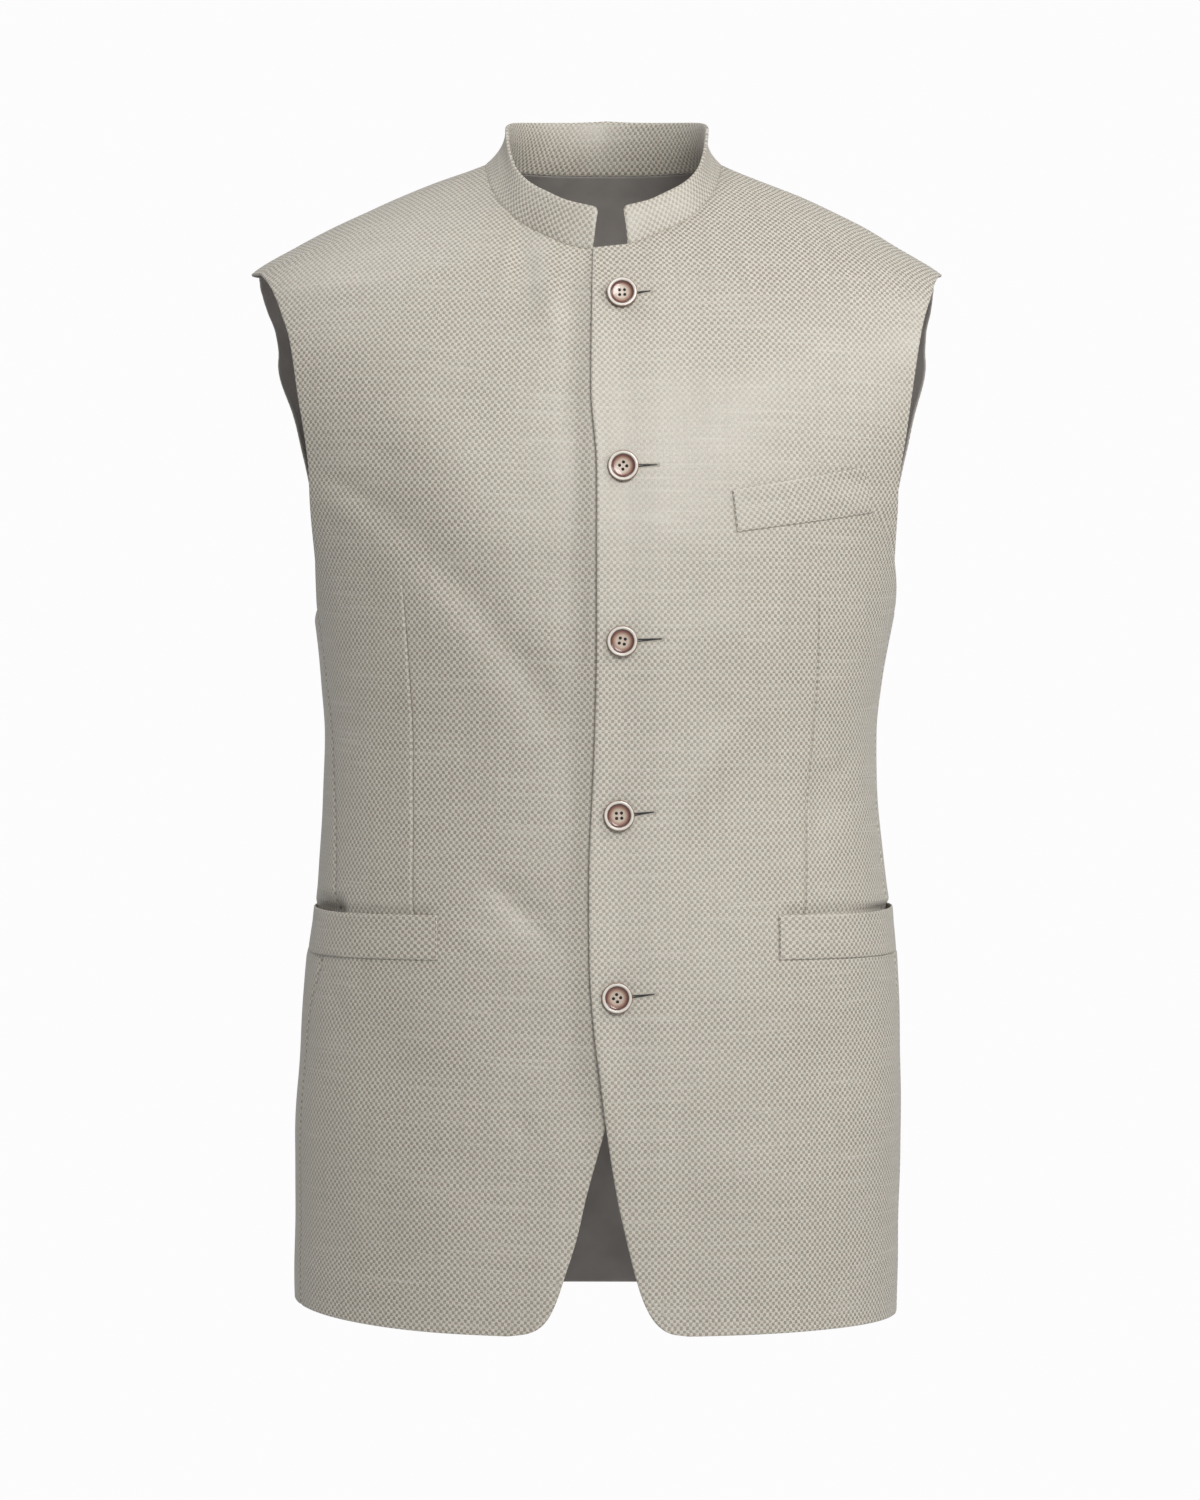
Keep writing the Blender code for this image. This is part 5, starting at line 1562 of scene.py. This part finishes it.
def button_seat(button):
    """A button's place on the cloth, turned part of the way towards the front."""
    seat = surface_frame(button["x"], button["height"], BUTTON_SEAT)
    leaning = seat.to_3x3() @ Vector((0.0, 0.0, 1.0))
    outward = leaning.lerp(Vector((0.0, -1.0, 0.0)), BUTTON_LEVEL).normalized()
    lift = max(BUTTON_RADIUS * math.sin(leaning.angle(outward)) - BUTTON_UNDERCUT, 0.0)
    twist = Matrix.Rotation(math.radians(button["twist"]), 4, "Z")
    return Matrix.Translation(seat.translation + outward * lift) @ facing(outward) @ twist


def make_buttons(horn, cream, hole, tree):
    """The buttons, their shanks, and near-black thread plugs that fill their holes: partly thread, partly
    painted shade for the holes' depth.
    """
    template = button_template(horn)
    for number, row in enumerate(BUTTONS, start=1):
        turned = button_seat(dict(zip(BUTTON_COLUMNS, row)))
        mesh = template.copy()
        mesh.transform(turned)
        made = link_object(f"button_face_{number}", mesh)
        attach(made, "root")
        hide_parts(f"button_{number}")
        place = turned @ Matrix.Translation((0, 0, SHANK_LEVEL))
        shank = round_bar(f"button_shank_{number}", SHANK_RADII, SHANK_HEIGHT, SHANK_SIDES, place, cream)
        shank.data.shade_smooth()
        add_sewing(shank, "button_thread")
        outward = turned.to_3x3() @ Vector((0, 0, 1))
        places = []
        for turn in HOLE_TURNS:
            direction = turned.to_3x3() @ Vector((math.cos(turn), math.sin(turn), 0))
            places.append((turned @ hole_place(turn, HOLE_THREAD_LEVEL), direction, outward))
        # The plugs nearly fill each hole in near-black: painted shade for the hole's depth, where the thread
        # sits.
        plugs = stitches(f"button_plugs_{number}", tree, places, "hole", number, hole)
        add_sewing(plugs, "thread")


def slit_stitch(slit, x, aside, lift, direction):
    """One stitch at a distance beside a buttonhole's line: its point, the way it lies and the way out."""
    start, height, climb = slit
    at = surface_frame(x, height + climb * (x - start) + aside, BODY_CLOTH / 2 + lift)
    turned = at.to_3x3()
    return at.translation, turned @ direction, turned @ Vector((0, 0, 1))


def make_buttonholes(dark, cream, tree):
    """Each buttonhole runs from under its button to the wearer's left: slit, edge stitches and bar tack."""
    for number, row in enumerate(BUTTONS, start=1):
        button = dict(zip(BUTTON_COLUMNS, row))
        start = button["x"] + SLIT_START
        run = button["slit_x"] - start
        climb = (button["slit_height"] - button["height"]) / run
        slit = (start, button["height"], climb)
        crosswise, lengthwise = Vector((-climb, 1, 0)).normalized(), Vector((1, climb, 0)).normalized()
        count = int(run / PURL_STEP)
        purl_row, slit_row = [], []
        for i in range(count):
            t = i / (count - 1)
            x = start + run * t
            for side in (-1, 1):
                purl_aside, slit_aside = PURL_ASIDE - PURL_TAPER * t, SLIT_HALF_WIDTH * (1 - t)
                purl_row.append(slit_stitch(slit, x, side * purl_aside, 0.00005, crosswise))
                slit_row.append(slit_stitch(slit, x, side * slit_aside, 0.00010, lengthwise))
        bar_xs = [button["slit_x"] + BAR_START + BAR_STEP * i for i in range(BAR_STITCHES)]
        bar = [slit_stitch(slit, x, 0.0, 0.0001, crosswise) for x in bar_xs]
        pieces = (
            ("purl", purl_row, cream, "button_thread"),
            ("slit", slit_row, dark, "thread"),
            ("bar", bar, cream, "button_thread"),
        )
        for run, places, finish, slot in pieces:
            made = stitches(f"buttonhole_{run}_{number}", tree, places, run, 10 + number, finish)
            add_sewing(made, slot)


def pick_line(start, end, count, lift):
    """Places of stitches on a front, evenly from one (x, height) to another."""
    places = []
    for i in range(count):
        t = (i + 0.5) / count
        x, z = start[0] + (end[0] - start[0]) * t, start[1] + (end[1] - start[1]) * t
        turn, height = np.array(turn_at(x, z)), np.array(z)
        rise = soft_rise(turn, height) + lift
        point = Vector(cloth_point(turn, height, rise))
        outward = Vector(ring_normal(turn, height))
        along = Vector((end[0] - start[0], 0.0, end[1] - start[1])).normalized()
        places.append((point, along, outward))
    return places


def make_pocket_stitches(finish, tree):
    """A short row of pick stitches down each welt's inner end."""
    lift = BODY_CLOTH / 2 + WELT_STAND + WELT_CLOTH
    ends = {
        "breast": (CHEST_WELT_INNER_TOP, CHEST_WELT_INNER_BOTTOM),
        "right_hip": [(HIP_WELT_INNER["right"], z) for z in (HIP_WELT_TOP, HIP_WELT_BOTTOM)],
        "left_hip": [(HIP_WELT_INNER["left"], z) for z in (HIP_WELT_TOP, HIP_WELT_BOTTOM)],
    }
    for number, (name, (top, bottom)) in enumerate(ends.items()):
        inset = math.copysign(PICK_INSET, top[0])
        start, end = (top[0] + inset, top[1] - PICK_END), (bottom[0] + inset, bottom[1] + PICK_END)
        places = pick_line(start, end, PICK_COUNT, lift)
        made = stitches(f"{name}_pick_stitches", tree, places, "pick", 30 + number, finish)
        add_sewing(made, "thread")


def make_camera():
    data = bpy.data.cameras.new("camera")
    data.lens = CAMERA_LENS
    data.sensor_width = CAMERA_SENSOR
    made = link_object("camera", data)
    made.location = (0.0, -CAMERA_DISTANCE, CAMERA_HEIGHT)
    made.rotation_euler = (math.radians(90), 0.0, 0.0)
    bpy.context.scene.camera = made


def seen_apart(tree, lit, seen):
    """The camera sees one shader, and all else meets the other."""
    camera_ray = add_node(tree, "ShaderNodeLightPath").outputs["Is Camera Ray"]
    return add_node(tree, "ShaderNodeMixShader", {0: camera_ray, 1: lit, 2: seen}).outputs[0]


def make_studio():
    """A pale floor, pale surroundings and soft lights."""
    scene = bpy.context.scene
    scene.view_settings.view_transform = "Standard"
    world = bpy.data.worlds.new("studio")
    world.use_nodes = True
    tree = world.node_tree
    tree.nodes.clear()
    backdrop = {"Color": (*BACKDROP_COLOUR, 1.0), "Strength": 1.0}
    seen = add_node(tree, "ShaderNodeBackground", backdrop)
    lit = add_node(tree, "ShaderNodeBackground", {"Color": AMBIENT_COLOUR, "Strength": AMBIENT})
    add_node(tree, "ShaderNodeOutputWorld", {"Surface": seen_apart(tree, lit.outputs[0], seen.outputs[0])})
    scene.world = world
    finish, tree, shader = principled("floor_paint", {"Roughness": 0.9, "Base Color": FLOOR_COLOUR})
    glow = add_node(tree, "ShaderNodeEmission", backdrop)
    output = tree.nodes["Material Output"]
    set_inputs(tree, output, {"Surface": seen_apart(tree, shader.outputs[0], glow.outputs[0])})
    floor_shape = bmesh.new()
    place = Matrix.Translation((0, 0, FLOOR_HEIGHT))
    ring = {"segments": FLOOR_SIDES, "radius": FLOOR_RADIUS, "matrix": place}
    bmesh.ops.create_circle(floor_shape, cap_ends=True, **ring)
    shaped_object("floor", floor_shape, finish)
    for row in LIGHTS:
        light = dict(zip(LIGHT_COLUMNS, row))
        data = bpy.data.lights.new(light["name"], "AREA")
        data.shape = "DISK"
        data.size = light["size"]
        data.energy = light["watts"]
        data.color = light["colour"]
        made = link_object(light["name"], data)
        made.location = light["place"]
        made.rotation_euler = (Vector(LIGHT_AIM) - made.location).to_track_quat("-Z", "Y").to_euler()


make_camera()
make_studio()

outer_face = suiting_face(weave_group())
cloth_faces = (outer_face, suiting_inside())
dark_thread = thread_finish("charcoal_thread", (0.016, 0.016, 0.018))
pale_thread = thread_finish("taupe_thread", (0.38, 0.35, 0.30))
# Near-black plugs for the buttons' holes: painted shade, darker than any thread, for the shadow down in each
# hole.
hole_thread_and_shade = thread_finish("hole_thread_and_shade", (0.004, 0.004, 0.004))
stitch_nodes = stitch_tree()

for side in ("left", "right"):
    for make_panel, node in ((front_panel, "front"), (side_panel, "side")):
        panel, panel_flat = make_panel(side, cloth_faces)
        finish_cloth(panel, f"{node}_{side}", panel_flat)
    strip, strip_flat = hip_welt(side, cloth_faces)
    finish_cloth(strip, f"hip_welt_{side}", strip_flat)
panel, panel_flat = back_panel(cloth_faces)
finish_cloth(panel, "back", panel_flat)
band, band_flat = collar_band((outer_face, outer_face))
finish_cloth(band, "collar", band_flat)
strip, strip_flat = breast_welt(cloth_faces)
finish_cloth(strip, "chest_welt", strip_flat)
make_buttons(button_horn(), pale_thread, hole_thread_and_shade, stitch_nodes)
make_buttonholes(dark_thread, pale_thread, stitch_nodes)
make_pocket_stitches(dark_thread, stitch_nodes)
